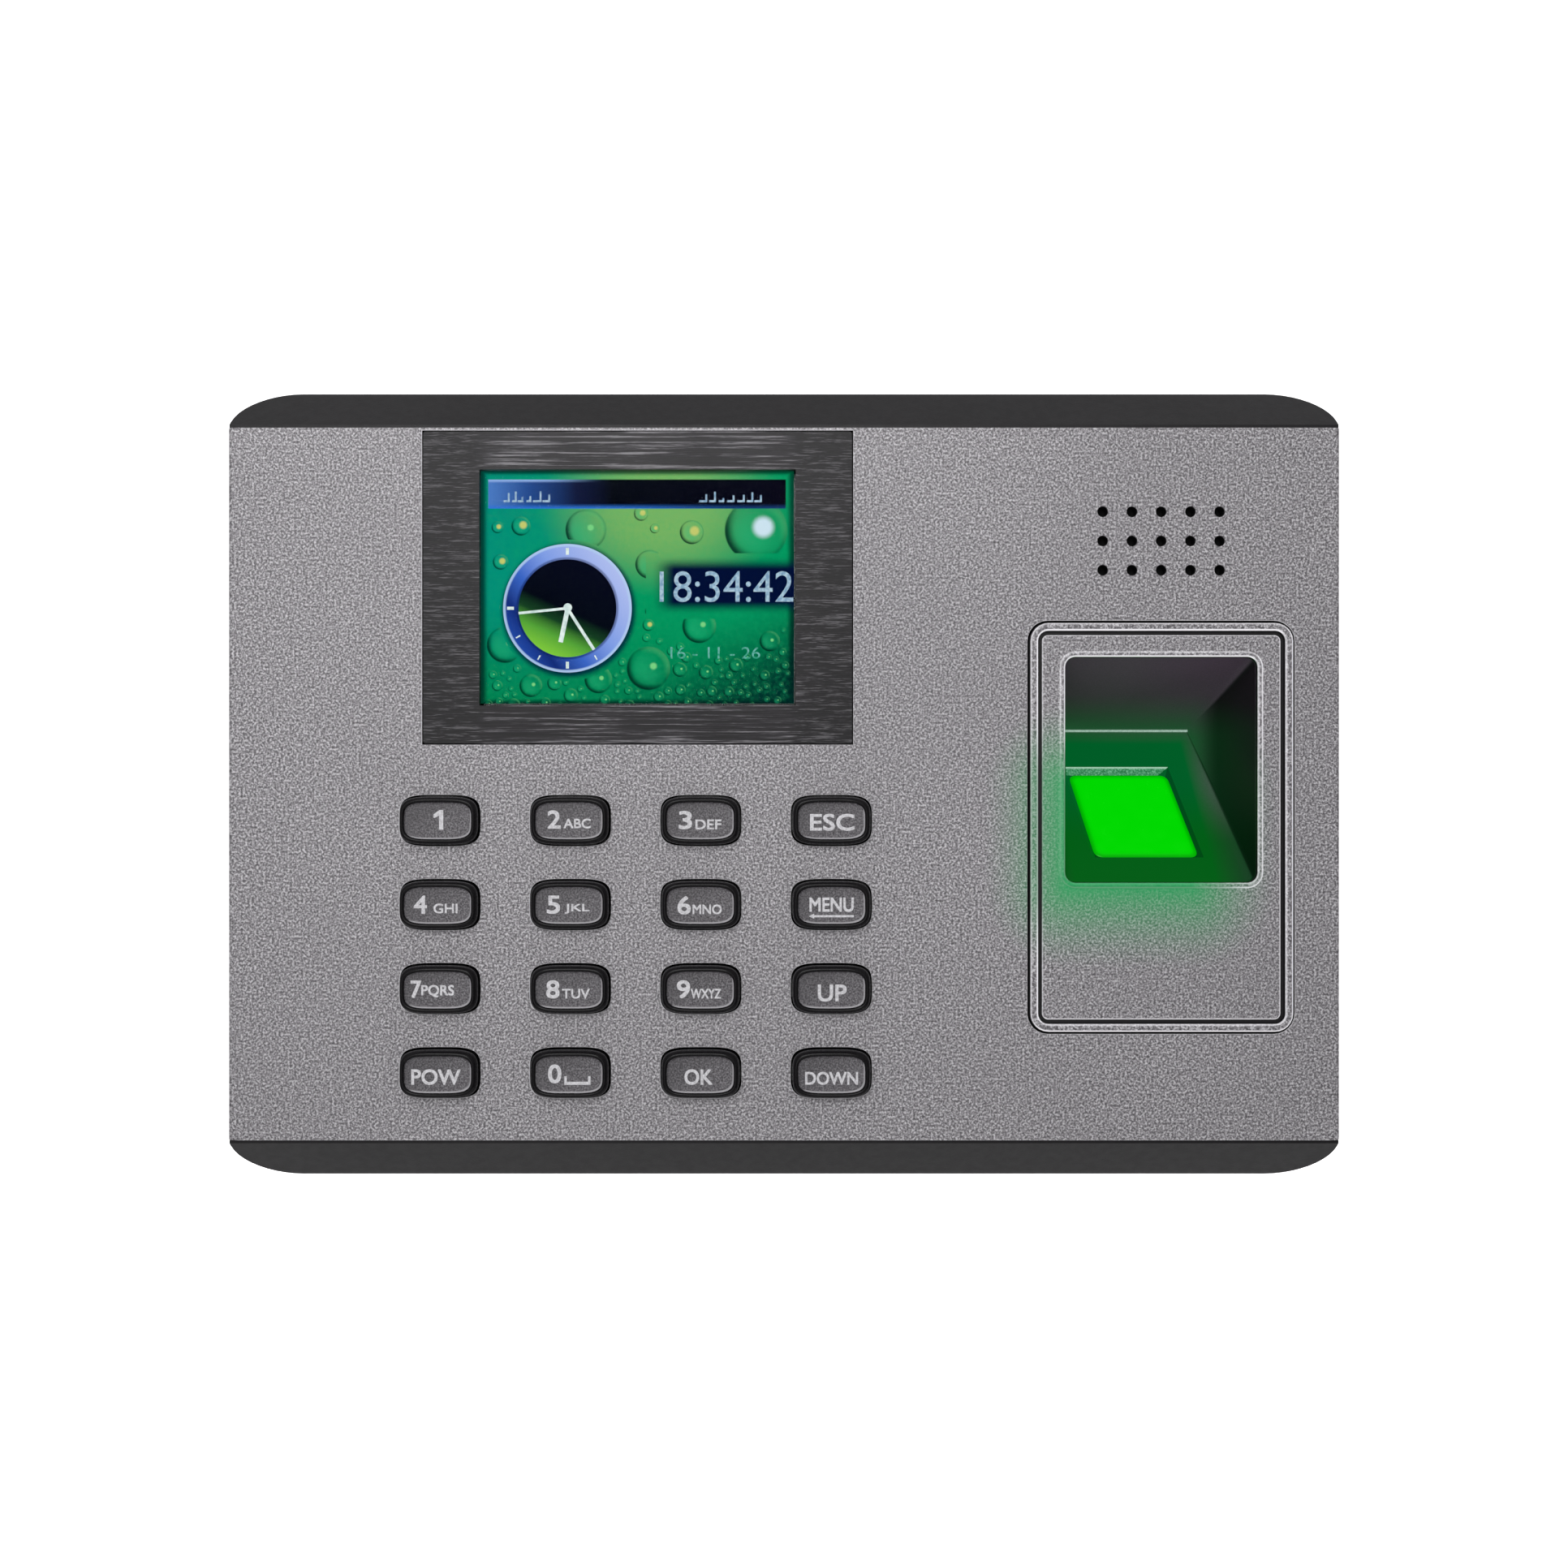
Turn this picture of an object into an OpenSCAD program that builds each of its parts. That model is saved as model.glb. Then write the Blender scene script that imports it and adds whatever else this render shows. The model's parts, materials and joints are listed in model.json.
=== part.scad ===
// Fingerprint scanner terminal: a wall-hung time clock with a colour display,
// a sixteen-key pad, a loudspeaker and an optical finger sensor in a sloping well.
// X runs to the right, Y runs back to the wall and Z runs up, all in millimetres.
// The origin is the centre of the wall plate's screw pattern, on the wall.

/* [Body] */
// Width across the side walls
body_w = 180; // [178:1:184]
// Height over the two sloping shoulders
body_h = 130.6; // [130:0.1:134]
// Depth from the wall to the front panel
body_d = 36; // [36:1:40]
// Height of the flat front panel between the shoulders
panel_h = 115.2; // [115:0.1:117]
// Depth of each sloping shoulder
shoulder_d = 7.2; // [6.4:0.2:9]
// Thickness of the front panel
panel_t = 2.5; // [2.2:0.1:2.8]
// Thickness of the rear housing's walls
wall_t = 2.4; // [2:0.1:2.6]

/* [Display] */
// Width of the display bezel
bezel_w = 69.4; // [66:0.2:70]
// Height of the display bezel
bezel_h = 50.5; // [48:0.5:51]
// Width of the opening that shows the picture
window_w = 51.2; // [48:0.2:52]
// Height of the opening that shows the picture
window_h = 38.2; // [36:0.2:39]

/* [Keypad] */
// Distance between key centres, left to right
key_pitch_x = 21.1; // [20:0.1:21.2]
// Distance between key centres, top to bottom
key_pitch_z = 13.6; // [13:0.1:13.8]
// Width of a key's opening in the panel
key_w = 13.2; // [12:0.1:13.4]
// Height of a key's opening in the panel
key_h = 8.35; // [7.8:0.05:8.6]
// How far a key stands out of the panel
key_proud = 1.8; // [1.4:0.1:2.2]
// How far a key travels when it is pressed
key_travel = 1; // [0.6:0.1:1]

/* [Sensor] */
// Width of the finger well's mouth
mouth_w = 31; // [30:0.5:32]
// Height of the finger well's mouth
mouth_h = 36.4; // [35:0.2:37]
// Depth of the well at its deepest line
well_d = 24; // [23:0.5:24.5]
// Width of the sensor's glass window
glass_w = 16.8; // [15:0.2:17.4]
// Length of the sensor's glass window, up the slope
glass_l = 18; // [16:0.5:18.5]

/* [Loudspeaker] */
// Diameter of a sound hole
sound_hole_d = 1.75; // [1.2:0.05:2]
// Distance between sound holes
sound_pitch = 4.73; // [4:0.01:4.8]

/* [Wall plate] */
// Width between the wall screws
screw_gap_x = 110; // [100:1:112]
// Height between the wall screws
screw_gap_z = 60; // [56:1:60]
// How far the terminal lifts to come off its hooks
lift = 8; // [7:0.5:8]

/* [Hidden] */
$fn = 48;

// How far a cut runs past a surface, and how deep a post's root is sunk in a wall
over = 1;
root = 0.5;
// Thickness of the thin slices that a hull joins
layer = 0.05;

// Planes from front to back
face_y = -body_d;
panel_back_y = face_y + panel_t;
rear_y = -0.4;
pocket_y = -2.4;
inner_rear_y = -4.6;
parting_y = face_y + 7;
shoulder_front_y = face_y + 0.8;
shoulder_back_y = shoulder_front_y + shoulder_d;

// Gap between the panel's back and the flanges behind it
flange_gap = 0.1;

// Outline of the body
half_w = body_w / 2;
half_h = body_h / 2;
half_panel = panel_h / 2;
corner_curve = [9.5, 6.3];
corner_steps = 10;
rear_chamfer = 1;
shoulder_lip = 0.7;
panel_gap = 0.2;
cover_edge_r = 0.8;
cover_skirt = 2.2;
cover_web = 2;
cavity_slope = [3, 1.5];

// Centres on the front panel, as [x, z]
display_at = [-23.7, 31.8];
keypad_at = [-24, -26.3];
sensor_at = [61, -7];
mouth_at = [61, 2.3];
speaker_at = [61, 39.3];

// Keypad stack
key_gap = 0.3;
key_flange_y = panel_back_y + 0.3;
key_flange_t = 1.2;
key_flange_extra = 0.7;
mat_y = face_y + 5;
mat_t = 1.4;
keypad_board_y = mat_y + mat_t;
board_t = 1.6;
contact_t = 0.2;
contact_r = 2.6;
key_foot_y = keypad_board_y - contact_t - key_travel - 0.1;
key_foot = [10, 6];
key_shoulder = [0.3, 1.4];
key_top_inset = 2.4;
keypad_board_size = [97, 58.2];
mat_size = [85, 58];
mat_hole_extra = 2;
keypad_ribbon_w = 16;

// Display stack
bezel_y = face_y + 0.2;
bezel_lip = 1.2;
bezel_gap = 0.2;
bezel_corner_r = 0.4;
bezel_flange_y = panel_back_y + flange_gap;
bezel_flange_t = 1.2;
bezel_flange_w = 2;
bezel_flange_top = half_panel - 2.3;
pane_size = [56, 43];
pane_play = 0.4;
pane_t = 1;
lcd_y = bezel_y + bezel_lip + pane_t + 0.1;
lcd_t = 2;
backlight_t = 2;
backlight_extra = [3, 2];
bracket_y = lcd_y + lcd_t + backlight_t;
bracket_t = 1;
bracket_size = [86, 46];
bracket_hole = [44, 30];
flex_w = 18;
ribbon_t = 0.3;

// Sensor panel and well
sensor_panel = [42.6, 66.2];
sensor_gap = 0.35;
sensor_rim = [1.45, 0.45];
sensor_groove = [0.45, 0.4];
sensor_corner_r = 3;
sensor_flange = [0.8, 1.2];
mouth_bead = [1, 0.25];
mouth_corner_r = 1.6;
mouth_recess = 1.2;
lip_t = 0.8;
well_wall = [1.4, 1.2];
well_flange = [2.5, 1.2];
well_draft = 4.3;
deep_z = [9, 9.8];
deep_y = face_y + well_d;
floor_start_y = face_y + 1.6;
mouth_low = mouth_at[1] - mouth_h / 2;
deep_x = [mouth_at[0] - mouth_w / 2 + well_draft, mouth_at[0] + mouth_w / 2 - well_draft];
slope_rise = deep_z[0] - mouth_low;
slope_run = deep_y - floor_start_y;
slope_angle = atan2(slope_run, slope_rise);
glass_x = mouth_at[0] - 1.8;
glass_low = 5.6;
glass_sink = 0.8;
glass_skew = 1.9;
glass_edge = [0.9, 0.6, 2.2];
prism_back = [4.5, 9];
prism_side = [[glass_l / 2, glass_sink], [glass_l / 2, prism_back[0]], [3, prism_back[1]]];
prism_play = 0.1;
shaft_depth = 6;
module_back = 13.5;
module_box = [22, 22];
module_low = 3.6;
module_wall = 1.4;
module_board = [24, 23.6];
lens_r = [3.5, 2.2];
lens_h = [4, 2.5];
led_at = [for (x = [-6.6, 6.6], z = [8, 21]) [x, z]];
led_r = [1.5, 1.45];
led_h = 3;

// Loudspeaker
speaker_r = 12;
gasket_w = 0.6;
gasket_t = 0.8;

// Boards behind the panel
main_board_y = -13.6;
main_board_x = [-76, 38];
main_board_z = [-60, 46];
board_screw_at = [[-72, -50], [34, -50], [-72, 40], [34, 40]];
board_hole_r = 1.6;
capacitor_at = [[-16, -52], [-4, -54], [8, -52], [26, -30], [28, 28], [-36, -34]];
capacitor_size = [2.5, 6];
cell_at = [-60, 26];
cell_r = 10;
cell_y = [main_board_y - 4.2, main_board_y - 1];
holder_r = 11.5;
battery_at = [60, -42];
battery_size = [30, 24];
battery_y = [-16, -8];
wire_r = 0.5;
cable_r = 0.8;

// Sockets at the lower edge, and the vents at the upper one
usb_at = -50;
usb_size = [14.4, 6.4];
usb_wall = 0.6;
usb_back = 0.8;
usb_tongue_size = [11, 1.8];
usb_tongue_gap = 1;
jack_at = -26;
jack_hole_y = -19.6;
jack_box = [9, 4.6];
jack_nose = [4, 3];
jack_bore = [2.9, 10];
jack_pin = [1, 9];
socket_play = 0.6;
socket_depth = 14;
socket_mouth_z = -half_h + 0.4;
vent_x = [for (i = [0:8]) -4 + 4 * i];
vent_w = 1.6;
vent_y = [-20, -10];

// Screws, as [head radius, head thickness, shank radius, length]
case_screw = [2.75, 2, 1.25, 13];
board_screw = [2.3, 1.6, 1.15, 6.5];
small_screw = [1.9, 1.2, 0.85, 4];

// Posts for the screws, with their places as [x, z]
case_post_at = [[-82, -50], [82, -50], [-82, 50], [82, 50]];
case_post_y = -20;
case_post_r = 3.4;
case_sleeve_r = 4.4;
case_sleeve_gap = 0.2;
counterbore_y = -16;
counterbore_r = 3.1;
case_hole_r = 1.6;
case_pilot_r = 1.3;
board_post_r = 3;
board_pilot_r = 1.2;
board_pilot_floor = 2;
small_post_r = 2.4;
small_pilot_r = 0.9;
small_hole_r = 1.2;
battery_rest_at = [for (x = [50, 70], z = [-50, -34]) [x, z]];
battery_rest_r = 2;
keypad_post_at = [for (x = [-45.5, 45.5], z = [-26, 26]) keypad_at + [x, z]];
display_post_at = [for (x = [-40, 40], z = [-20, 20]) display_at + [x, z]];

// Wall plate and its hooks
plate_size = [136, 84];
plate_corner_r = 4;
plate_t = 1.2;
pocket_x = 72;
pocket_z = [-52, 43];
hook_at = [for (x = [-40, 40], z = [24, -30]) [x, z]];
hook_w = 8;
hook_lip_h = 7;
hook_lip_y = inner_rear_y - 0.6;
hook_window = [hook_w + 1, 11];
hook_slot = [hook_w + 2, lift + 2.65];
hook_play = 0.15;
screw_hole_r = 2.25;

// ---------------------------------------------------------------- helpers

// Extrudes an outline drawn in X and Z along Y, from y0 in front to y1 behind.
module along_y(y0, y1) {
  translate([0, y1, 0]) rotate([90, 0, 0]) linear_extrude(y1 - y0) children();
}

// Extrudes an outline drawn in Y and Z along X.
module along_x(x0, x1) {
  translate([x0, 0, 0]) rotate([90, 0, 90]) linear_extrude(x1 - x0) children();
}

// A cylinder along Y with its centre at [x, z].
module y_cylinder(at, r, y0, y1) {
  translate([at[0], y1, at[1]]) rotate([90, 0, 0]) cylinder(r = r, h = y1 - y0);
}

// A box from one corner to the opposite one.
module block(low, high) {
  translate(low) cube(high - low);
}

// A box centred on [x, z], from y0 to y1.
module slab(at, size, y0, y1) {
  block([at[0] - size[0] / 2, y0, at[1] - size[1] / 2],
        [at[0] + size[0] / 2, y1, at[1] + size[1] / 2]);
}

// Points of an arc, from one angle to another.
function arc(centre, r, a0, a1, steps = 6) =
  [for (i = [0:steps]) let (a = a0 + (a1 - a0) * i / steps) centre + r * [cos(a), sin(a)]];

// Points of a rectangle with round corners, centred on at.
function round_rect(at, size, r) = let (x = size[0] / 2 - r, y = size[1] / 2 - r) concat(
  arc(at + [x, y], r, 0, 90), arc(at + [-x, y], r, 90, 180),
  arc(at + [-x, -y], r, 180, 270), arc(at + [x, -y], r, 270, 360));

// Points of a rounded key outline, whose sides swell a little between the corners.
function key_outline(at, size, power = 4, steps = 40) =
  [for (i = [0:steps - 1]) let (a = 360 * i / steps, c = cos(a), s = sin(a))
    at + [size[0] / 2 * sign(c) * pow(abs(c), 2 / power),
          size[1] / 2 * sign(s) * pow(abs(s), 2 / power)]];

// The body's outline from the front, drawn in by an inset.
function body_outline(inset) =
  let (centre = [half_w, half_h] - corner_curve, r = corner_curve - [1, 1] * inset)
  [for (side = [[1, 1, 0], [-1, 1, 90], [-1, -1, 180], [1, -1, 270]], i = [0:corner_steps])
    let (turn = side[2] + 90 * i / corner_steps)
    [side[0] * centre[0] + r[0] * cos(turn), side[1] * centre[1] + r[1] * sin(turn)]];

// Points along a smooth line through the route's points.
function smooth(p, steps = 3) = concat(
  [for (i = [0:len(p) - 2], k = [0:steps - 1])
    let (t = k / steps, a = p[max(i - 1, 0)], b = p[i], c = p[i + 1],
         d = p[min(i + 2, len(p) - 1)])
    0.5 * (2 * b + (c - a) * t + (2 * a - 5 * b + 4 * c - d) * t * t
           + (3 * b - a - 3 * c + d) * t * t * t)],
  [p[len(p) - 1]]);

// A round wire swept along a route, which never runs straight along side.
module wire(route, r, side = [1, 0, 0], sides = 8) {
  p = smooth(route);
  n = len(p);
  rings = [for (i = [0:n - 1])
    let (d = p[min(i + 1, n - 1)] - p[max(i - 1, 0)],
         u = cross(side, d) / norm(cross(side, d)), v = cross(d, u) / norm(d))
    each [for (k = [0:sides - 1]) p[i] + r * (cos(360 * k / sides) * u + sin(360 * k / sides) * v)]];
  walls = [for (i = [0:n - 2], k = [0:sides - 1])
    let (a = i * sides + k, b = i * sides + (k + 1) % sides)
    each [[a, a + sides, b], [b, a + sides, b + sides]]];
  polyhedron(rings, concat([[for (k = [0:sides - 1]) k]], walls,
                           [[for (k = [sides - 1:-1:0]) (n - 1) * sides + k]]));
}

// A flat ribbon of thickness t that follows a folded line.
module ribbon_outline(line, t) {
  for (i = [0:len(line) - 2]) {
    d = line[i + 1] - line[i];
    n = [-d[1], d[0]] / norm(d) * t / 2;
    e = d / norm(d) * t / 2;
    polygon([line[i] - e - n, line[i + 1] + e - n, line[i + 1] + e + n, line[i] - e + n]);
  }
}

// A pan-head screw along Y: its head sits on the plane y and its shank runs to dir's side.
module screw(at, y, size, dir) {
  y_cylinder(at, size[0], min(y, y - dir * size[1]), max(y, y - dir * size[1]));
  y_cylinder(at, size[2], min(y, y + dir * size[3]), max(y, y + dir * size[3]));
}

// Places children in the well's own axes: X across, Y up the slope, Z out of the glass.
module on_slope() {
  translate([glass_x, floor_start_y, mouth_low])
    rotate([90 - slope_angle, 0, 0]) children();
}

// The glass's outline on the slope, moved outwards at its sides, foot and head.
function glass_outline(side, foot, head) =
  [for (p = [[-1, -foot], [1, -foot], [1, glass_l + head], [-1, glass_l + head]])
    [p[0] * (glass_w / 2 + side) - glass_skew * (p[1] / glass_l - 0.5), glass_low + p[1]]];

// ------------------------------------------------------------- wall plate

module hook(at) {
  block([at[0] - hook_w / 2, hook_lip_y - plate_t, at[1]],
        [at[0] + hook_w / 2, -plate_t, at[1] + plate_t]);
  block([at[0] - hook_w / 2, hook_lip_y - plate_t, at[1]],
        [at[0] + hook_w / 2, hook_lip_y, at[1] + hook_lip_h]);
}

module wall_plate() color("silver") {
  difference() {
    along_y(-plate_t, 0) polygon(round_rect([0, 0], plate_size, plate_corner_r));
    for (x = [-1, 1], z = [-1, 1])
      y_cylinder([x * screw_gap_x / 2, z * screw_gap_z / 2], screw_hole_r,
                 -plate_t - over, over);
    for (h = hook_at)
      slab(h + [0, plate_t + hook_window[1] / 2], hook_window, -plate_t - over, over);
  }
  for (h = hook_at) hook(h);
}

// ------------------------------------------------------------ rear housing

module body_block() {
  front_z = half_panel + shoulder_lip;
  c = rear_chamfer;
  intersection() {
    along_y(face_y - over, rear_y) polygon(body_outline(0));
    along_x(-half_w, half_w)
      polygon([[rear_y, -half_h + c], [rear_y - c, -half_h], [shoulder_back_y, -half_h],
               [shoulder_front_y, -front_z], [shoulder_front_y, front_z],
               [shoulder_back_y, half_h], [rear_y - c, half_h], [rear_y, half_h - c]]);
    translate([0, 0, -half_h]) linear_extrude(body_h)
      polygon([[-half_w, face_y], [half_w, face_y], [half_w, rear_y - c], [half_w - c, rear_y],
               [-half_w + c, rear_y], [-half_w, rear_y - c]]);
  }
}

module housing_cavity() {
  z = half_h - wall_t;
  front_z = half_panel + panel_gap;
  slope_y = [shoulder_back_y - cavity_slope[0], shoulder_back_y + cavity_slope[1]];
  intersection() {
    along_y(face_y - 2 * over, inner_rear_y) polygon(body_outline(wall_t));
    along_x(-half_w, half_w)
      polygon([[inner_rear_y, -z], [slope_y[1], -z], [slope_y[0], -front_z],
               [face_y - over, -front_z], [face_y - over, front_z],
               [slope_y[0], front_z], [slope_y[1], z], [inner_rear_y, z]]);
  }
}

module housing_posts() {
  for (p = case_post_at)
    y_cylinder(p, case_sleeve_r, case_post_y + case_sleeve_gap, inner_rear_y);
  for (p = board_screw_at) y_cylinder(p, board_post_r, main_board_y + board_t, inner_rear_y);
  for (p = battery_rest_at) y_cylinder(p, battery_rest_r, battery_y[1], inner_rear_y);
}

module rear_housing() color("#38363a") difference() {
  union() {
    difference() {
      body_block();
      housing_cavity();
      slab([0, 0], [body_w + 2 * over, panel_h + 2 * panel_gap], face_y - 2 * over, parting_y);
      block([-pocket_x, pocket_y, pocket_z[0]], [pocket_x, over, pocket_z[1]]);
    }
    housing_posts();
  }
  for (p = case_post_at) {
    y_cylinder(p, counterbore_r, counterbore_y, over);
    y_cylinder(p, case_hole_r, case_post_y - over, 0);
  }
  for (p = board_screw_at)
    y_cylinder(p, board_pilot_r, main_board_y, inner_rear_y - board_pilot_floor);
  for (h = hook_at)
    slab([h[0], h[1] + plate_t + hook_play - hook_slot[1] / 2], hook_slot,
         inner_rear_y - over, over);
  block([usb_at - usb_size[0] / 2 - socket_play, main_board_y - usb_size[1] - socket_play,
         -half_h - over],
        [usb_at + usb_size[0] / 2 + socket_play, main_board_y + socket_play,
         -half_h + wall_t + over]);
  translate([jack_at, jack_hole_y, -half_h - over])
    cylinder(r = jack_nose[0] + socket_play / 2, h = wall_t + 2 * over);
  for (x = vent_x)
    block([x, vent_y[0], half_h - wall_t - over], [x + vent_w, vent_y[1], half_h + over]);
}

// ------------------------------------------------------------- front cover

module cover_shell() {
  r = cover_edge_r;
  skirt = cover_skirt;
  x = half_w;
  translate([0, 0, -half_panel]) linear_extrude(panel_h) polygon(concat(
    arc([x - r, face_y + r], r, 0, -90), arc([-x + r, face_y + r], r, -90, -180),
    [[-x, parting_y], [-x + skirt, parting_y], [-x + skirt, panel_back_y],
     [x - skirt, panel_back_y], [x - skirt, parting_y], [x, parting_y]]));
  for (s = [-1, 1])
    slab([0, s * (half_panel - cover_web / 2)], [body_w - 2 * skirt, cover_web],
         panel_back_y - root, parting_y);
}

module key_holes() {
  for (i = [0:3], k = [0:3])
    along_y(face_y - over, panel_back_y + over)
      polygon(key_outline(key_centre(i, k), [key_w, key_h]));
}

module sound_holes() {
  for (i = [-2:2], k = [-1:1])
    y_cylinder(speaker_at + sound_pitch * [i, k], sound_hole_d / 2,
               face_y - over, panel_back_y + over);
}

module front_cover() color("#96949a") difference() {
  union() {
    cover_shell();
    for (p = case_post_at) y_cylinder(p, case_post_r, panel_back_y - root, case_post_y);
    for (p = keypad_post_at) y_cylinder(p, small_post_r, panel_back_y - root, keypad_board_y);
    for (p = display_post_at) y_cylinder(p, small_post_r, panel_back_y - root, bracket_y);
  }
  slab(display_at, [bezel_w, bezel_h] + [2, 2] * bezel_gap, face_y - over, panel_back_y + bezel_gap);
  along_y(face_y - over, panel_back_y + flange_gap)
    polygon(round_rect(sensor_at, sensor_panel + [2, 2] * sensor_gap, sensor_corner_r + sensor_gap));
  key_holes();
  sound_holes();
  for (p = case_post_at) y_cylinder(p, case_pilot_r, panel_back_y + root, 0);
  for (p = concat(keypad_post_at, display_post_at)) y_cylinder(p, small_pilot_r, panel_back_y, 0);
}

// ------------------------------------------------------------------ keypad

function key_centre(column, row) =
  keypad_at + [key_pitch_x * (column - 1.5), key_pitch_z * (1.5 - row)];

// A key: a sloping cap on a straight body, with a flange that holds it behind the panel.
module key(column, row) color("#2b292c") {
  at = key_centre(column, row);
  body = [key_w, key_h] - [2, 2] * key_gap;
  top_y = face_y - key_proud;
  shoulder_y = top_y + key_shoulder[0];
  hull() {
    along_y(face_y - layer, face_y) polygon(key_outline(at, body));
    along_y(shoulder_y, shoulder_y + layer)
      polygon(key_outline(at, body - [1, 1] * key_shoulder[1]));
    along_y(top_y, top_y + layer) polygon(key_outline(at, body - [1, 1] * key_top_inset));
  }
  along_y(face_y - layer / 2, key_flange_y) polygon(key_outline(at, body));
  slab(at, [key_w, key_h] + [2, 2] * key_flange_extra, key_flange_y, key_flange_y + key_flange_t);
  slab(at, key_foot, key_flange_y + key_flange_t, key_foot_y);
}

module keypad_mat() color("#3a393b") difference() {
  slab(keypad_at, mat_size, mat_y, keypad_board_y);
  for (i = [0:3], k = [0:3])
    slab(key_centre(i, k), [key_w, key_h] + [1, 1] * mat_hole_extra,
         mat_y - over, keypad_board_y + over);
}

module keypad_board() color("#1d6b3f") difference() {
  slab(keypad_at, keypad_board_size, keypad_board_y, keypad_board_y + board_t);
  for (p = keypad_post_at)
    y_cylinder(p, small_hole_r, keypad_board_y - over, keypad_board_y + board_t + over);
}

module keypad_contacts() color("gold")
  for (i = [0:3], k = [0:3])
    y_cylinder(key_centre(i, k), contact_r, keypad_board_y - contact_t, keypad_board_y);

module keypad_ribbon() color("#d8cfa8")
  along_x(keypad_at[0] - keypad_ribbon_w / 2, keypad_at[0] + keypad_ribbon_w / 2)
    ribbon_outline([[keypad_board_y + board_t + 0.25, -20], [-23, -20], [-19, -30],
                    [-16.6, -30]], ribbon_t);

// ----------------------------------------------------------------- display

module display_bezel() color("#424044") difference() {
  union() {
    along_y(bezel_y, bezel_flange_y)
      polygon(round_rect(display_at, [bezel_w, bezel_h], bezel_corner_r));
    block([display_at[0] - bezel_w / 2 - bezel_flange_w, bezel_flange_y,
           display_at[1] - bezel_h / 2 - bezel_flange_w],
          [display_at[0] + bezel_w / 2 + bezel_flange_w, bezel_flange_y + bezel_flange_t,
           bezel_flange_top]);
  }
  slab(display_at, [window_w, window_h], face_y - over, bezel_flange_y + bezel_flange_t + over);
  slab(display_at, pane_size + [1, 1] * pane_play, bezel_y + bezel_lip,
       bezel_flange_y + bezel_flange_t + over);
}

module display_window() color("lightblue", 0.4)
  slab(display_at, pane_size, bezel_y + bezel_lip, bezel_y + bezel_lip + pane_t);

module lcd_panel() color("#1c8a58")
  slab(display_at, pane_size - [1, 1] * pane_play, lcd_y, lcd_y + lcd_t);

module lcd_backlight() color("white")
  slab(display_at, pane_size + backlight_extra, lcd_y + lcd_t, bracket_y);

module lcd_bracket() color("silver") difference() {
  slab(display_at, bracket_size, bracket_y, bracket_y + bracket_t);
  slab(display_at, bracket_hole, bracket_y - over, bracket_y + bracket_t + over);
  for (p = display_post_at)
    y_cylinder(p, small_hole_r, bracket_y - over, bracket_y + bracket_t + over);
}

module lcd_flex() color("#c98a3a")
  along_x(display_at[0] - flex_w / 2, display_at[0] + flex_w / 2)
    ribbon_outline([[bracket_y + 0.25, 30], [bracket_y + 0.25, 21],
                    [bracket_y + bracket_t + 0.35, 17.4], [bracket_y + bracket_t + 0.35, 6],
                    [-22, 2], [-16.6, 2]], ribbon_t);

// ----------------------------------------------------------- finger sensor

// The sensor panel's outline, grown by extra on every side.
function sensor_outline(extra) =
  round_rect(sensor_at, sensor_panel + [2, 2] * extra, sensor_corner_r + extra);

// The well's mouth, grown by extra on every side.
function mouth_outline(extra) =
  round_rect(mouth_at, [mouth_w, mouth_h] + [2, 2] * extra, mouth_corner_r + extra);

// A frame that starts by outer within the sensor panel's edge and is width wide.
module sensor_frame(outer, width, y0, y1) difference() {
  along_y(y0, y1) polygon(sensor_outline(-outer));
  along_y(y0 - over, y1 + over) polygon(sensor_outline(-outer - width));
}

module sensor_bezel() color("#96949a") difference() {
  union() {
    along_y(face_y, panel_back_y + sensor_flange[1]) polygon(sensor_outline(0));
    along_y(panel_back_y + flange_gap, panel_back_y + sensor_flange[1])
      polygon(sensor_outline(sensor_flange[0]));
    sensor_frame(0, sensor_rim[0], face_y - sensor_rim[1], face_y + flange_gap);
    along_y(face_y - mouth_bead[1], face_y + flange_gap) polygon(mouth_outline(mouth_bead[0]));
  }
  sensor_frame(sensor_rim[0], sensor_groove[0], face_y - over, face_y + sensor_groove[1]);
  along_y(face_y - over, panel_back_y + 2 * over) polygon(mouth_outline(0));
  along_y(face_y + lip_t, panel_back_y + 2 * over) polygon(mouth_outline(mouth_recess));
}

module well_cavity() hull() {
  along_y(face_y - over, floor_start_y) polygon(mouth_outline(0));
  block([deep_x[0], deep_y - root, deep_z[0]], [deep_x[1], deep_y, deep_z[1]]);
}

module well_outside() hull() {
  along_y(face_y + lip_t + flange_gap, floor_start_y + 1.6) polygon(mouth_outline(1));
  block([deep_x[0] - well_wall[0], deep_y, deep_z[0] - well_wall[0]],
        [deep_x[1] + well_wall[0], deep_y + well_wall[1], deep_z[1] + well_wall[0]]);
}

module sensor_well() color("#232225") difference() {
  union() {
    well_outside();
    slab(mouth_at, [mouth_w, mouth_h] + [2, 2] * well_flange[0],
         panel_back_y + sensor_flange[1], panel_back_y + sensor_flange[1] + well_flange[1]);
  }
  well_cavity();
  on_slope() hull() {
    translate([0, 0, -glass_sink - layer]) linear_extrude(layer)
      polygon(glass_outline(0, 0, 0));
    translate([0, 0, 2 * layer]) linear_extrude(layer)
      polygon(glass_outline(glass_edge[0], glass_edge[1], glass_edge[2]));
  }
  on_slope() translate([0, 0, -shaft_depth]) linear_extrude(shaft_depth)
    polygon(glass_outline(0, 0, 0));
}

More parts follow.
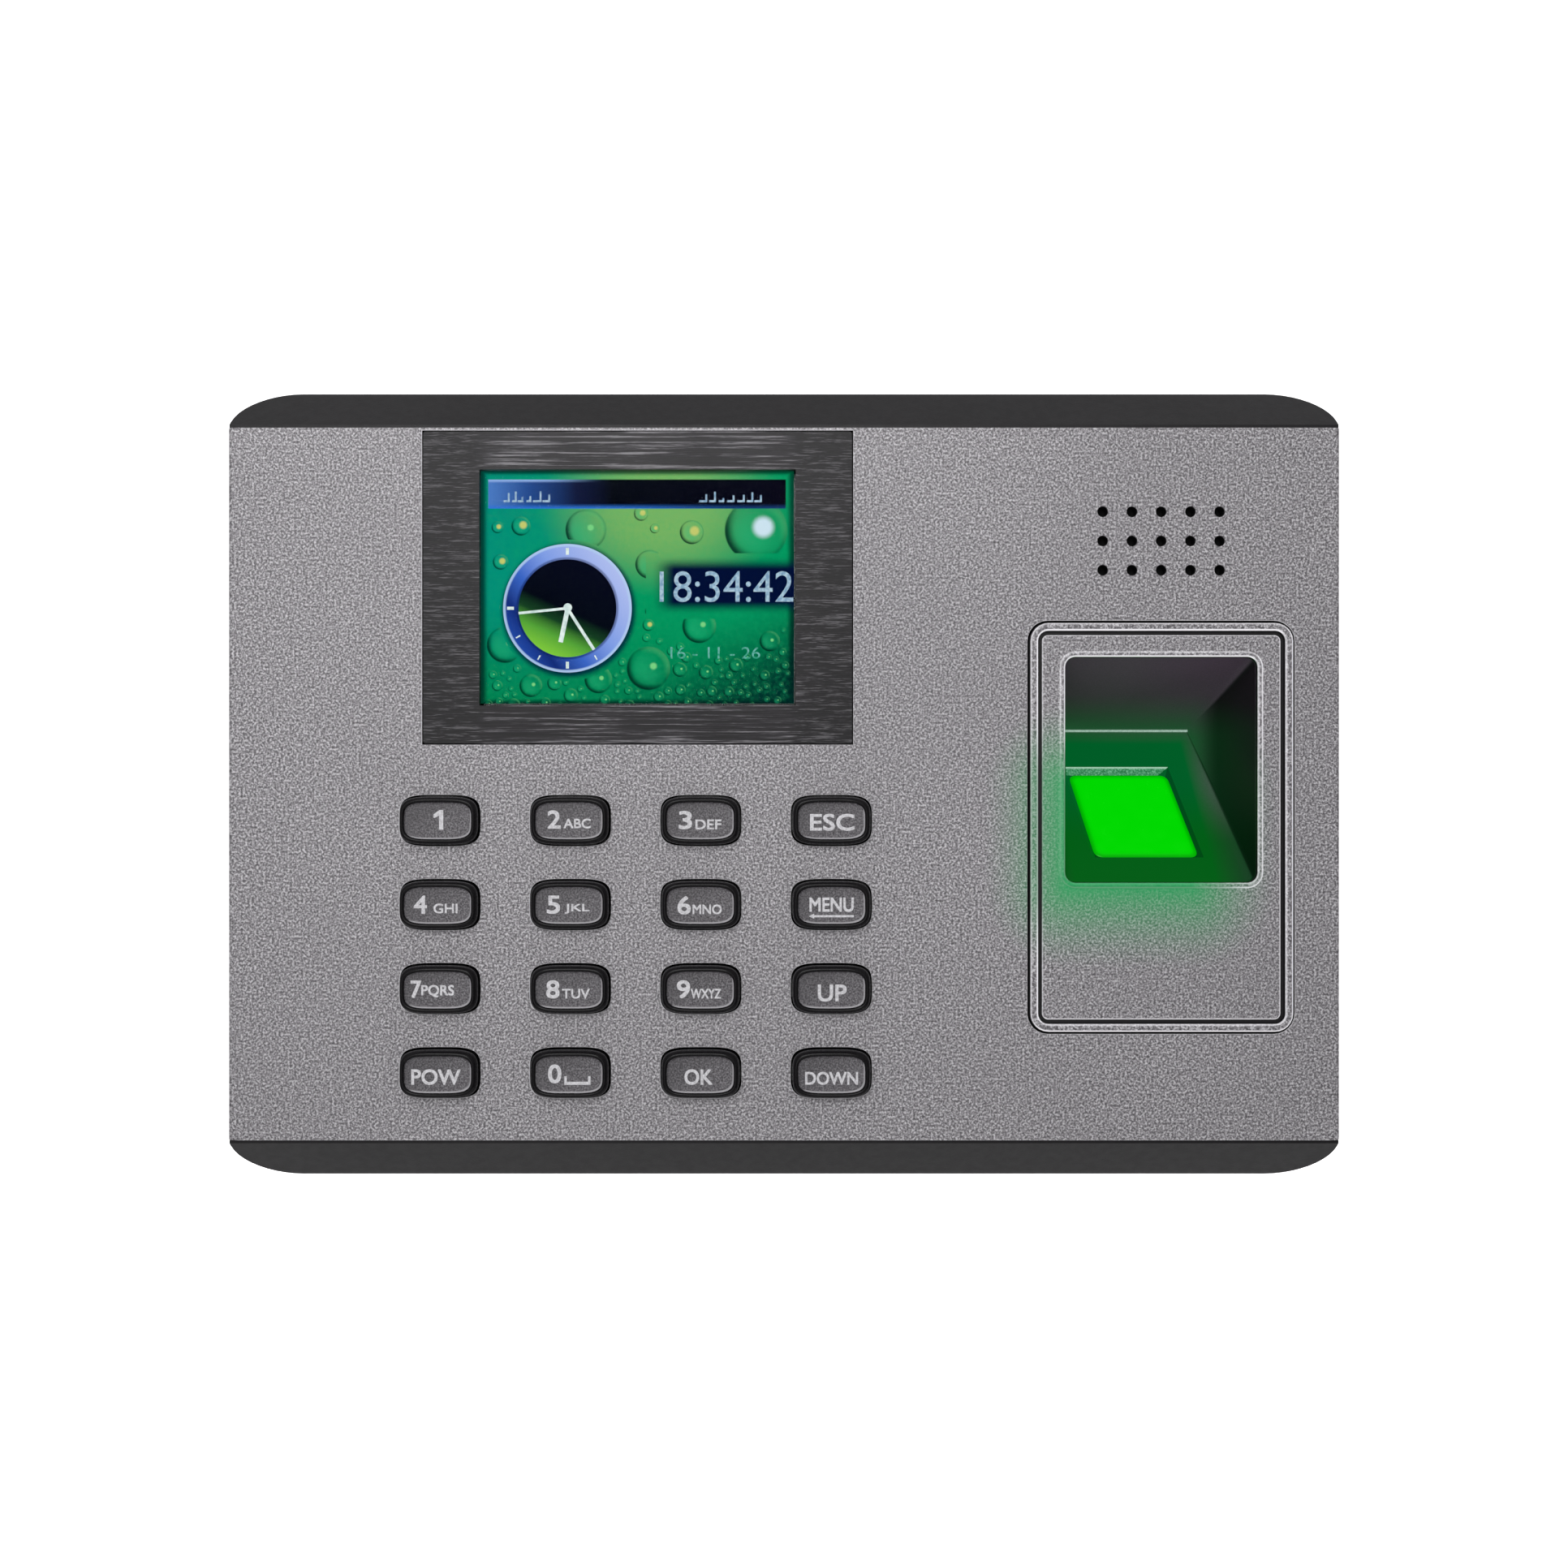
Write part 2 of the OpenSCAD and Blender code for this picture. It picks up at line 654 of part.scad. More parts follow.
module sensor_prism() color("#2fd02f") on_slope() intersection() {
  translate([glass_w, 0, 0]) rotate([90, 0, -90]) linear_extrude(2 * glass_w)
    polygon([for (side = [-1, 1], i = [0:2])
      let (p = prism_side[side < 0 ? i : 2 - i])
      [side * p[0] - glass_low - glass_l / 2, -p[1]]]);
  translate([0, 0, -prism_back[1] - over]) linear_extrude(prism_back[1] + over)
    polygon(glass_outline(-prism_play, -prism_play, -prism_play));
}

module sensor_housing() color("#1c1b1d") on_slope() difference() {
  translate([-module_box[0] / 2, module_low, -module_back])
    cube([module_box[0], module_box[1], module_back - 2]);
  translate([-module_box[0] / 2 + module_wall, module_low + module_wall, -module_back - over])
    cube([module_box[0] - 2 * module_wall, module_box[1] - 2 * module_wall, module_back]);
}

module sensor_lens() color("#101012") on_slope()
  translate([0, glass_low + glass_l / 2, -module_back]) difference() {
    cylinder(r = lens_r[0], h = lens_h[0]);
    translate([0, 0, lens_h[1]]) cylinder(r = lens_r[1], h = lens_h[0]);
  }

module sensor_board() color("#1b4f8a") on_slope()
  translate([-module_board[0] / 2, module_low - 1.2, -module_back - board_t])
    cube([module_board[0], module_board[1], board_t]);

module sensor_leds() color("#7dff7d") on_slope()
  for (p = led_at)
    translate([p[0], p[1], -module_back]) {
      cylinder(r = led_r[0], h = led_h);
      translate([0, 0, led_h]) sphere(r = led_r[1]);
    }

module sensor_cable() color("#303236")
  wire([[46.9, -15.6, -16], [44, -15.8, -15], [41, -16.5, -10], [38.5, -16, -5],
        [36.4, -15.6, -4]], cable_r, [0, 0.3, 1]);

// ------------------------------------------------------------- electronics

module main_board() color("#1d6b3f") difference() {
  block([main_board_x[0], main_board_y, main_board_z[0]],
        [main_board_x[1], main_board_y + board_t, main_board_z[1]]);
  for (p = board_screw_at)
    y_cylinder(p, board_hole_r, main_board_y - over, main_board_y + board_t + over);
}

// A part soldered to the front of the main board.
module on_board(at, size, height) {
  slab(at, size, main_board_y - height, main_board_y);
}

module board_chips() color("#202022") {
  on_board([-18, 16], [14, 14], 1.4);
  on_board([2, 18], [12, 18], 1.2);
  on_board([-40, 12], [10, 12], 1.2);
  on_board([-50, -30], [7, 7], 1);
  on_board([10, -14], [5, 6], 1.6);
  on_board([22, 10], [5, 6], 1.6);
  on_board([-8, -40], [9, 7], 2.4);
}

module board_capacitors() color("#9aa0a8")
  for (p = capacitor_at)
    y_cylinder(p, capacitor_size[0], main_board_y - capacitor_size[1], main_board_y);

module board_sockets() color("ivory") {
  on_board([keypad_at[0], -30], [20, 5], 2.85);
  on_board([display_at[0], 2], [22, 4], 2.85);
  on_board([33.5, -4], [5, 12], 3.8);
  on_board([20, 38], [8, 5], 5);
  on_board([20, -46], [8, 5], 5);
}

module clock_cell() color("silver")
  y_cylinder(cell_at, cell_r, cell_y[0], cell_y[1]);

module clock_cell_holder() color("#2a2a2c") difference() {
  y_cylinder(cell_at, holder_r, cell_y[0] + 0.2, main_board_y);
  y_cylinder(cell_at, cell_r + 0.1, cell_y[0] - over, cell_y[1]);
}

module usb_shell() color("silver") difference() {
  block([usb_at - usb_size[0] / 2, main_board_y - usb_size[1], socket_mouth_z],
        [usb_at + usb_size[0] / 2, main_board_y, socket_mouth_z + socket_depth]);
  block([usb_at - usb_size[0] / 2 + usb_wall, main_board_y - usb_size[1] + usb_wall,
         socket_mouth_z - over],
        [usb_at + usb_size[0] / 2 - usb_wall, main_board_y - usb_wall,
         socket_mouth_z + socket_depth - usb_back]);
}

module usb_tongue() color("white")
  block([usb_at - usb_tongue_size[0] / 2, main_board_y - usb_tongue_gap - usb_tongue_size[1],
         socket_mouth_z + usb_tongue_gap],
        [usb_at + usb_tongue_size[0] / 2, main_board_y - usb_tongue_gap,
         socket_mouth_z + socket_depth - usb_back]);

module power_jack() color("#18181a") difference() {
  union() {
    block([jack_at - jack_box[0] / 2, jack_hole_y - jack_box[1], socket_mouth_z + jack_nose[1]],
          [jack_at + jack_box[0] / 2, main_board_y, socket_mouth_z + socket_depth]);
    translate([jack_at, jack_hole_y, socket_mouth_z])
      cylinder(r = jack_nose[0], h = jack_nose[1] + over);
  }
  translate([jack_at, jack_hole_y, socket_mouth_z - over])
    cylinder(r = jack_bore[0], h = jack_bore[1] + over);
}

module power_jack_pin() color("gold")
  translate([jack_at, jack_hole_y, socket_mouth_z + jack_bore[1] - jack_pin[1]])
    cylinder(r = jack_pin[0], h = jack_pin[1]);

module backup_battery() color("#8f9aa6")
  along_y(battery_y[0], battery_y[1]) polygon(round_rect(battery_at, battery_size, 2));

module battery_wires() for (k = [0, 1]) color(k == 0 ? "red" : "black")
  wire([[44.6, -12, -38 - 2 * k], [41.5, -14, -38 - 2 * k], [33, -19, -41 - 2 * k],
        [25 - 3.5 * k, -21, -44 - 3 * k], [22 - 3.5 * k, -18.9, -45 - k]], wire_r, [0, 0, 1]);

// ------------------------------------------------------------- loudspeaker

module speaker_gasket() color("#3c3c3c") difference() {
  y_cylinder(speaker_at, speaker_r, panel_back_y, panel_back_y + gasket_t);
  y_cylinder(speaker_at, speaker_r - gasket_w, panel_back_y - over, panel_back_y + gasket_t + over);
}

// Turns a profile of [radius, depth behind the gasket] about the loudspeaker's axis.
module turned_speaker(profile) translate([speaker_at[0], panel_back_y + gasket_t, speaker_at[1]])
  rotate([-90, 0, 0]) rotate_extrude() polygon(profile);

module speaker_frame() color("#7d8085")
  turned_speaker([[10.4, 0], [12, 0], [12, 1.2], [10.6, 1.2], [8, 5.2], [8, 6.6], [0, 6.6],
                  [0, 5.6], [7, 5.6], [7, 5], [9.4, 0.9], [10.4, 0.9]]);

module speaker_cone() color("#1c1c1e")
  turned_speaker([[0, 1.6], [3, 2.4], [8, 0.5], [10.2, 0.5], [10.2, 0.9], [8.1, 0.9],
                  [3, 2.9], [0, 2.1]]);

module speaker_magnet() color("#55585c")
  turned_speaker([[0, 6.6], [7, 6.6], [7, 10], [0, 10]]);

module speaker_wires() for (k = [0, 1]) color(k == 0 ? "red" : "black")
  wire([[52.8, -26.8, 40.3 - 2 * k], [48, -25, 40.3 - 2 * k], [38, -21.5, 40 - 2 * k],
        [25 - 3.5 * k, -21, 39 - 2.4 * k], [22 - 3.5 * k, -18.9, 38.5 - k]], wire_r,
       [0, 0, 1]);

// ----------------------------------------------------------------- screws

module case_screws() color("silver")
  for (p = case_post_at) screw(p, counterbore_y, case_screw, -1);

module board_screws() color("silver")
  for (p = board_screw_at) screw(p, main_board_y, board_screw, 1);

module keypad_screws() color("silver")
  for (p = keypad_post_at) screw(p, keypad_board_y + board_t, small_screw, -1);

module display_screws() color("silver")
  for (p = display_post_at) screw(p, bracket_y + bracket_t, small_screw, -1);

// ------------------------------------------------------------------ nodes

wall_plate();
rear_housing();
front_cover();
display_bezel();
display_window();
lcd_panel();
lcd_backlight();
lcd_bracket();
lcd_flex();
sensor_bezel();
sensor_well();
sensor_prism();
sensor_housing();
sensor_lens();
sensor_board();
sensor_leds();
sensor_cable();
main_board();
board_chips();
board_capacitors();
board_sockets();
clock_cell();
clock_cell_holder();
keypad_board();
keypad_contacts();
keypad_mat();
keypad_ribbon();
speaker_gasket();
speaker_frame();
speaker_cone();
speaker_magnet();
speaker_wires();
backup_battery();
battery_wires();
usb_shell();
usb_tongue();
power_jack();
power_jack_pin();
case_screws();
board_screws();
keypad_screws();
display_screws();
key(0, 0);  // key_1
key(1, 0);  // key_2
key(2, 0);  // key_3
key(3, 0);  // key_escape
key(0, 1);  // key_4
key(1, 1);  // key_5
key(2, 1);  // key_6
key(3, 1);  // key_menu
key(0, 2);  // key_7
key(1, 2);  // key_8
key(2, 2);  // key_9
key(3, 2);  // key_up
key(0, 3);  // key_power
key(1, 3);  // key_0
key(2, 3);  // key_ok
key(3, 3);  // key_down
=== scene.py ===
"""Looks of the fingerprint scanner terminal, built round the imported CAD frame. Metres, front towards -Y."""

import json
import math
import random

import bmesh
import bpy
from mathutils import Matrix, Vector

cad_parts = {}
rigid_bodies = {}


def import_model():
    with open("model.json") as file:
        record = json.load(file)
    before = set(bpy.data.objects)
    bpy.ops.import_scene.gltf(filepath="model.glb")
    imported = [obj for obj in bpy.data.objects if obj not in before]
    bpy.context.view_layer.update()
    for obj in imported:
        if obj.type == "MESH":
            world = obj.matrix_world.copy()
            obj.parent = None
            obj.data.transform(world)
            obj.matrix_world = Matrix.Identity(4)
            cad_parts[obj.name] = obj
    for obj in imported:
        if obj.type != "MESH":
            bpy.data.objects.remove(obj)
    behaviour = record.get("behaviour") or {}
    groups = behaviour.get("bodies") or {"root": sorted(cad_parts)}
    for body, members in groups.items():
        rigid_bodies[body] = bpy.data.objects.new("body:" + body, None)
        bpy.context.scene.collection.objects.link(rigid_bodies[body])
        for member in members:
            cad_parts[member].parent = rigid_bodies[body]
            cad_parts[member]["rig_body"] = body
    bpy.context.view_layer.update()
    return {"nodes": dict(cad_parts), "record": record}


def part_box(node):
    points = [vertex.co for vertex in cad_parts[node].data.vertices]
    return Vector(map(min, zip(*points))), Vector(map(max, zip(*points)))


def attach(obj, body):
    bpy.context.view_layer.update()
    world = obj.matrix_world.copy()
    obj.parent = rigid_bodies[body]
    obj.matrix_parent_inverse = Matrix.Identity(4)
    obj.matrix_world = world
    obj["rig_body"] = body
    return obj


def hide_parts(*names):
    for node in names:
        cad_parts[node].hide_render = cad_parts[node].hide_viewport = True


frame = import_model()
NODES = frame["nodes"]
SLOTS = {row["node"]: row["material_slot"] for row in frame["record"]["subparts"]}
MM = 0.001
BLACK = (0, 0, 0, 1)
STUDIO_WHITE = (1, 0.995, 1, 1)
FLOOR = -1  # height of the stage's floor


# ---- stage

def srgb(red, green, blue):
    """A colour given as 0 to 255 screen values, in Blender's linear values."""
    def linear(value):
        value /= 255
        return value / 12.92 if value <= 0.04045 else ((value + 0.055) / 1.055) ** 2.4
    return (linear(red), linear(green), linear(blue), 1)


def darker(colour, share):
    """A colour cut down to a share of its light."""
    return tuple(share * part for part in colour[:3]) + (1,)


def circle(steps):
    """Cosine and sine of even steps round a circle."""
    return [(math.cos(math.tau * i / steps), math.sin(math.tau * i / steps)) for i in range(steps)]


def add_object(name, data):
    """Puts a mesh, camera, light or text in the scene."""
    piece = bpy.data.objects.new(name, data)
    bpy.context.scene.collection.objects.link(piece)
    return piece


def make_camera():
    """The camera stands straight in front of the panel, level with its middle."""
    distance = 220 * MM
    frame_width = 253.5 * MM
    data = bpy.data.cameras.new("camera")
    data.sensor_width = 36
    data.lens = data.sensor_width * distance / frame_width
    data.clip_start = 0.01
    camera = add_object("camera", data)
    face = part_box("front_cover")[0].y
    camera.location = (0, face - distance, 0)
    camera.rotation_euler = (math.radians(90), 0, 0)
    bpy.context.scene.camera = camera


def area_light(name, place, target, size, power):
    """A square soft light at place, turned towards target."""
    data = bpy.data.lights.new(name, "AREA")
    data.shape = "SQUARE"
    data.size = size
    data.energy = power
    light = add_object(name, data)
    light.location = place
    light.rotation_euler = (Vector(target) - Vector(place)).to_track_quat("-Z", "Y").to_euler()
    light.visible_camera = False


def make_stage():
    """A pale floor well below the terminal, a white sweep behind it, and soft studio light."""
    world = bpy.data.worlds.new("studio")
    world.use_nodes = True
    tree = world.node_tree
    background = tree.nodes["Background"]
    background.inputs["Color"].default_value = STUDIO_WHITE
    direction = tree.nodes.new("ShaderNodeSeparateXYZ")
    tree.links.new(tree.nodes.new("ShaderNodeTexCoord").outputs["Generated"], direction.inputs[0])
    height = tree.nodes.new("ShaderNodeMapRange")
    for key, number in (("From Min", -0.7), ("From Max", 0.7), ("To Min", 0.05), ("To Max", 0.52)):
        height.inputs[key].default_value = number
    tree.links.new(direction.outputs["Z"], height.inputs["Value"])
    tree.links.new(height.outputs["Result"], background.inputs["Strength"])
    bpy.context.scene.world = world
    bpy.context.scene.view_settings.view_transform = "Standard"
    floor = disc("floor", (0, 0, FLOOR), 1.45)
    wear(floor, stage_finish("pale_floor", 0))
    sweep = backdrop("backdrop", FLOOR)
    wear(sweep, stage_finish("white_backdrop", 1.2))
    area_light("key_light", (-0.08, -0.46, 0.27), (-0.03, 0, 0), 0.3, 1.07)
    area_light("fill_light", (-0.2, -1, 0.05), (0, 0, 0), 0.7, 2)


def stage_finish(name, glow):
    """A matt white that gives off some light of its own."""
    return Material(name, 0.9, Base_Color=(0.88, 0.88, 0.88, 1), Emission_Color=STUDIO_WHITE,
                    Emission_Strength=glow).material


def mesh_object(name, points, faces):
    """A piece with the given corners and faces."""
    mesh = bpy.data.meshes.new(name)
    mesh.from_pydata([Vector(p) for p in points], [], faces)
    mesh.validate()
    return add_object(name, mesh)


def from_build(name, build):
    """A piece with the mesh that was built, which is then freed."""
    mesh = bpy.data.meshes.new(name)
    build.to_mesh(mesh)
    build.free()
    return add_object(name, mesh)


def disc(name, centre, radius, sides=96):
    """A flat round sheet."""
    points = [(centre[0] + radius * c, centre[1] + radius * s, centre[2]) for c, s in circle(sides)]
    return mesh_object(name, points, [list(range(sides))])


def backdrop(name, foot, reach=1.4, height=3, half_width=2.6, bend=0.4, steps=12):
    """A sheet that runs along the floor behind the object and curves up."""
    profile = [(reach - 0.05, foot + 0.001)]
    for i in range(steps + 1):
        turn = math.radians(90) * i / steps
        profile.append((reach + bend + bend * math.sin(turn), foot + bend - bend * math.cos(turn)))
    profile.append((reach + 2 * bend, foot + height))
    points = [(side * half_width, y, z) for y, z in profile for side in (-1, 1)]
    faces = [[2 * i, 2 * i + 1, 2 * i + 3, 2 * i + 2] for i in range(len(profile) - 1)]
    return mesh_object(name, points, faces)


# ---- materials

class Material:
    """A Principled material and short names for the nodes that feed it."""

    def __init__(self, name, roughness, **values):
        """values are constants on the shader's own sockets."""
        self.material = bpy.data.materials.new(name)
        self.material.use_nodes = True
        self.tree = self.material.node_tree
        self.shader = self.tree.nodes["Principled BSDF"]
        self.shader.inputs["Roughness"].default_value = roughness
        for key, value in values.items():
            self.shader.inputs[key.replace("_", " ")].default_value = value

    def node(self, kind, **settings):
        made = self.tree.nodes.new("ShaderNode" + kind)
        for key, value in settings.items():
            setattr(made, key, value)
        return made

    def feed(self, node, values):
        """Links or sets the inputs of a node, which are given by name or number."""
        for key, value in values.items():
            if isinstance(value, bpy.types.NodeSocket):
                self.tree.links.new(value, node.inputs[key])
            else:
                node.inputs[key].default_value = value

    def maths(self, operation, first, second=0.5):
        node = self.node("Math", operation=operation)
        self.feed(node, {0: first, 1: second})
        return node.outputs[0]

    def times(self, first, *others):
        """The product of two or more values."""
        for other in others:
            first = self.maths("MULTIPLY", first, other)
        return first

    def size(self, value):
        """A value without its sign."""
        return self.maths("ABSOLUTE", value)

    def vector(self, operation, first, second=(0, 0, 0)):
        """Vector maths: the node's outputs, which are Vector and Value."""
        node = self.node("VectorMath", operation=operation)
        self.feed(node, {0: first, 1: second})
        return node.outputs

    def length(self, source):
        return self.vector("LENGTH", source)["Value"]

    def axes(self, source):
        """The X, Y and Z of a vector."""
        node = self.node("SeparateXYZ")
        self.feed(node, {0: source})
        return node.outputs

    def coordinates(self, kind):
        return self.node("TexCoord").outputs[kind]

    def place(self, scale=(1, 1, 1), centre=(0, 0, 0), turn=(0, 0, 0)):
        """Object coordinates, moved so that centre is the origin, then turned and scaled."""
        node = self.node("Mapping")
        moved = self.vector("SUBTRACT", self.coordinates("Object"), centre)[0]
        self.feed(node, {"Vector": moved, "Rotation": turn, "Scale": scale})
        return node.outputs[0]

    def noise(self, size, detail=3, rough=0.5, stretch=(1, 1, 1), turn=(0, 0, 0)):
        """Noise whose blobs are about size mm across, longer along axes stretched over 1."""
        node = self.node("TexNoise")
        place = self.place([1 / s for s in stretch], turn=turn)
        self.feed(node, {"Vector": place, "Scale": 1 / (size * MM), "Detail": detail, "Roughness": rough})
        return node.outputs["Fac"]

    def ramp(self, factor, *stops):
        """A colour for each value, from stops of a value and a colour."""
        node = self.node("ValToRGB")
        elements = node.color_ramp.elements
        while len(elements) < len(stops):
            elements.new(0.5)
        for element, (position, colour) in zip(elements, stops):
            element.position = position
            element.color = colour
        self.feed(node, {"Fac": factor})
        return node.outputs["Color"]

    def spread(self, value, low, high, to_low=0, to_high=1, smooth=True):
        """Stretches the range from low to high over another range, and holds the ends."""
        node = self.node("MapRange", interpolation_type="SMOOTHSTEP" if smooth else "LINEAR")
        self.feed(node, {"Value": value, "From Min": low, "From Max": high,
                         "To Min": to_low, "To Max": to_high})
        return node.outputs["Result"]

    def mix(self, share, first, second):
        node = self.node("Mix", data_type="RGBA")
        self.feed(node, {"Factor": share, 6: first, 7: second})
        return node.outputs[2]

    def coats(self, colour, *coats):
        """Lays coats over a colour, each given as the share it covers and its own colour."""
        for share, coat in coats:
            colour = self.mix(share, colour, coat)
        return colour

    def bump(self, height, depth, strength=1):
        """A normal from a height, whose full range is depth mm."""
        node = self.node("Bump")
        self.feed(node, {"Height": height, "Distance": depth * MM, "Strength": strength})
        return node.outputs["Normal"]

    def finish(self, colour=None, roughness=None, normal=None, emission=None):
        """Feeds the shader and gives the material."""
        links = {"Base Color": colour, "Roughness": roughness, "Normal": normal, "Emission Color": emission}
        self.feed(self.shader, {key: source for key, source in links.items() if source is not None})
        return self.material


def grained(name, dark, light, grain, roughness, contrast, specular=0.5):
    """A moulded, painted or coated surface: fine grain in colour and height, and faint broad wear."""
    made = Material(name, roughness, Specular_IOR_Level=specular)
    fine = made.noise(grain, rough=0.6)
    colour = made.ramp(fine, (0.5 - contrast / 2, dark), (0.5 + contrast / 2, light))
    colour = made.mix(made.spread(made.noise(18), 0.35, 0.7, 0, 0.35), colour, darker(dark, 0.8))
    rough = made.spread(made.noise(1.5, 2), 0.3, 0.7, roughness - 0.02, roughness + 0.03)
    return made.finish(colour, rough, made.bump(fine, 0.02))


def grey_paint():
    """Silver-grey paint sprayed on the front of a black moulding, with a fine cast grain.

    The paint stops a little way round each edge, so sides and the walls of holes stay black; inside the holes
    this black also stands in for their shade.
    Rounded edges carry a painted highlight, a lighter colour and a faint glow, strongest where they face up
    and to the left; beside the sensor the paint carries painted green light from the well.
    """
    made = Material("grey_paint", 0.5, Metallic=0.15, Emission_Strength=1)
    grain = made.noise(0.36, 2, 0.6)
    both = made.maths("ADD", made.times(grain, 0.75), made.times(made.noise(0.17, 1), 0.25))
    place = made.axes(made.place())
    ragged = made.times(made.maths("SUBTRACT", grain, 0.5), 0.3 * MM)
    # unpainted black deeper in; in the holes it also stands in for their shade
    bare = made.spread(made.maths("ADD", place["Y"], ragged), FACE + 0.3 * MM, FACE + 0.42 * MM)
    facing = made.axes(made.coordinates("Normal"))
    # painted highlight on rounded edges, most where they face up and to the left, kept off the speaker holes
    # and the cover's outer sides
    rounded = made.spread(made.size(facing["Y"]), 0.99, 0.86, 0, 0.95)
    toward = made.spread(made.maths("SUBTRACT", facing["X"], facing["Z"]), -0.3, 0.25, 0.45, 1)
    off_holes = made.spread(made.length(made.place((1, 0, 1), SPEAKER)), 11 * MM, 13 * MM)
    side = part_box("front_cover")[1].x
    outer = made.spread(made.size(place["X"]), side - 1.2 * MM, side - 1.8 * MM)
    edge = made.times(rounded, toward, off_holes, outer)
    # painted green light from the sensor on the paint beside its well
    green = near_window(made, -5, 10, 10, 8, 14, 1.6)
    colour = made.coats(
        made.ramp(both, (0.38, srgb(82, 79, 83)), (0.5, srgb(144, 141, 145)), (0.62, srgb(218, 216, 220))),
        (made.spread(made.noise(32, 2), 0.3, 0.7, 0, 0.12), srgb(120, 118, 122)),
        (edge, srgb(232, 230, 234)), (made.times(green, 0.93), srgb(22, 176, 98)), (bare, srgb(20, 19, 21)))
    painted = made.maths("SUBTRACT", 1, bare)
    clear = made.spread(green, 0.05, 0.6, 1, 0.12)
    # the painted highlight also glows faintly, less where the green light is painted
    painted_glint = made.mix(made.times(edge, painted, clear), BLACK, srgb(170, 169, 172))
    rough = made.spread(grain, 0.3, 0.7, 0.42, 0.6)
    return made.finish(colour, rough, made.bump(both, 0.09, 0.9), painted_glint)


def near_window(made, across, up, half_width, half_height, reach, power):
    """How near a point is to a box round the lit window: 1 inside it, falling to 0 at reach mm from it.

    The box's middle is given in mm from the middle of the well's foot.
    """
    low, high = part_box("sensor_well")
    centre = ((low.x + high.x) / 2 + across * MM, 0, low.z + up * MM)
    offset = made.vector("ABSOLUTE", made.place((1, 0, 1), centre))[0]
    outside = made.vector("SUBTRACT", offset, (half_width * MM, 0, half_height * MM))[0]
    far = made.spread(made.length(made.vector("MAXIMUM", outside)[0]), 0, reach * MM, smooth=False)
    return made.maths("POWER", made.maths("SUBTRACT", 1, far), power)


def brushed_black():
    """Black plastic brushed lengthwise: bright strokes on its bars, hairline scratches on its posts."""
    made = Material("bezel_black", 0.34, Specular_IOR_Level=0.26)
    strokes = made.noise(0.4, 4, 0.75, stretch=(26, 1, 0.5))
    long = made.noise(0.9, rough=0.6, stretch=(34, 1, 0.6))
    skewed = made.noise(0.45, rough=0.7, stretch=(8, 1, 0.45), turn=(0, 0.62, 0))
    low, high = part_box("display_bezel")
    place = made.axes(made.place(centre=(low + high) / 2))
    post = made.spread(made.size(place["X"]), 24 * MM, 27 * MM)
    lines = made.mix(post, made.mix(0.4, strokes, long), made.mix(0.85, strokes, skewed))
    patch = made.maths("SUBTRACT", made.noise(16, 1), 0.47)
    patch = made.times(patch, made.spread(post, 0, 1, 0.16, 0))
    colour = made.ramp(made.maths("ADD", lines, patch), (0.38, srgb(15, 14, 16)), (0.47, srgb(28, 26, 29)),
                       (0.54, srgb(52, 50, 54)), (0.61, srgb(142, 140, 144)))
    colour = made.mix(made.times(post, 0.55), colour, srgb(18, 17, 19))
    rough = made.spread(lines, 0.35, 0.65, 0.3, 0.55)
    return made.finish(colour, rough, made.bump(lines, 0.05, 0.9))


def glossy_black():
    """The bare rim of a key: black and polished, with faint smears."""
    made = Material("key_black", 0.16, Specular_IOR_Level=0.18)
    smear = made.noise(2.2)
    colour = made.ramp(made.noise(0.3, 2), (0.3, srgb(10, 9, 11)), (0.7, srgb(18, 16, 19)))
    return made.finish(colour, made.spread(smear, 0.35, 0.7, 0.1, 0.28), made.bump(smear, 0.02, 0.5))


def steel(name, tint, roughness):
    """Rolled or plated metal with fine strokes and faint spangle."""
    made = Material(name, roughness, Metallic=1)
    strokes = made.noise(0.3, rough=0.6, stretch=(25, 1, 1))
    colour = made.ramp(made.mix(0.4, strokes, made.noise(5, 2)), (0.3, darker(tint, 0.72)), (0.7, tint))
    rough = made.spread(strokes, 0.3, 0.7, roughness - 0.08, roughness + 0.12)
    return made.finish(colour, rough, made.bump(strokes, 0.01, 0.4))


def circuit(name, mask, track):
    """Solder mask over copper: raised tracks run in steps, and the weave of the board shows faintly."""
    made = Material(name, 0.35)
    cells = made.node("TexVoronoi", distance="MANHATTAN", feature="DISTANCE_TO_EDGE")
    made.feed(cells, {"Scale": 1 / (4.5 * MM), "Vector": made.place((1, 0.01, 1))})
    tracks = made.spread(cells.outputs["Distance"], 0.06, 0.11, 1, 0)
    weave = made.noise(0.5, 2, stretch=(1, 1, 3))
    colour = made.coats(mask, (tracks, track), (made.spread(weave, 0.4, 0.6, 0, 0.25), darker(mask, 0.5)))
    return made.finish(colour, made.spread(weave, 0.3, 0.7, 0.28, 0.42), made.bump(tracks, 0.03, 0.6))


def clear_window():
    """Clear acrylic in front of the display."""
    made = Material("clear_window", 0.02, Transmission_Weight=1, IOR=1.04, Specular_IOR_Level=0.2,
                    Base_Color=(0.97, 1, 0.98, 1))
    return made.finish(roughness=made.spread(made.noise(3), 0.4, 0.7, 0, 0.03))


def lit_glass():
    """The body of the optical window: dark green glass."""
    made = Material("sensor_glass", 0.15, Emission_Strength=1)
    film = made.noise(2.5)
    colour = made.mix(made.spread(film, 0.35, 0.7), srgb(0, 40, 12), srgb(0, 58, 16))
    return made.finish(colour, made.spread(film, 0.3, 0.7, 0.08, 0.2), emission=colour)


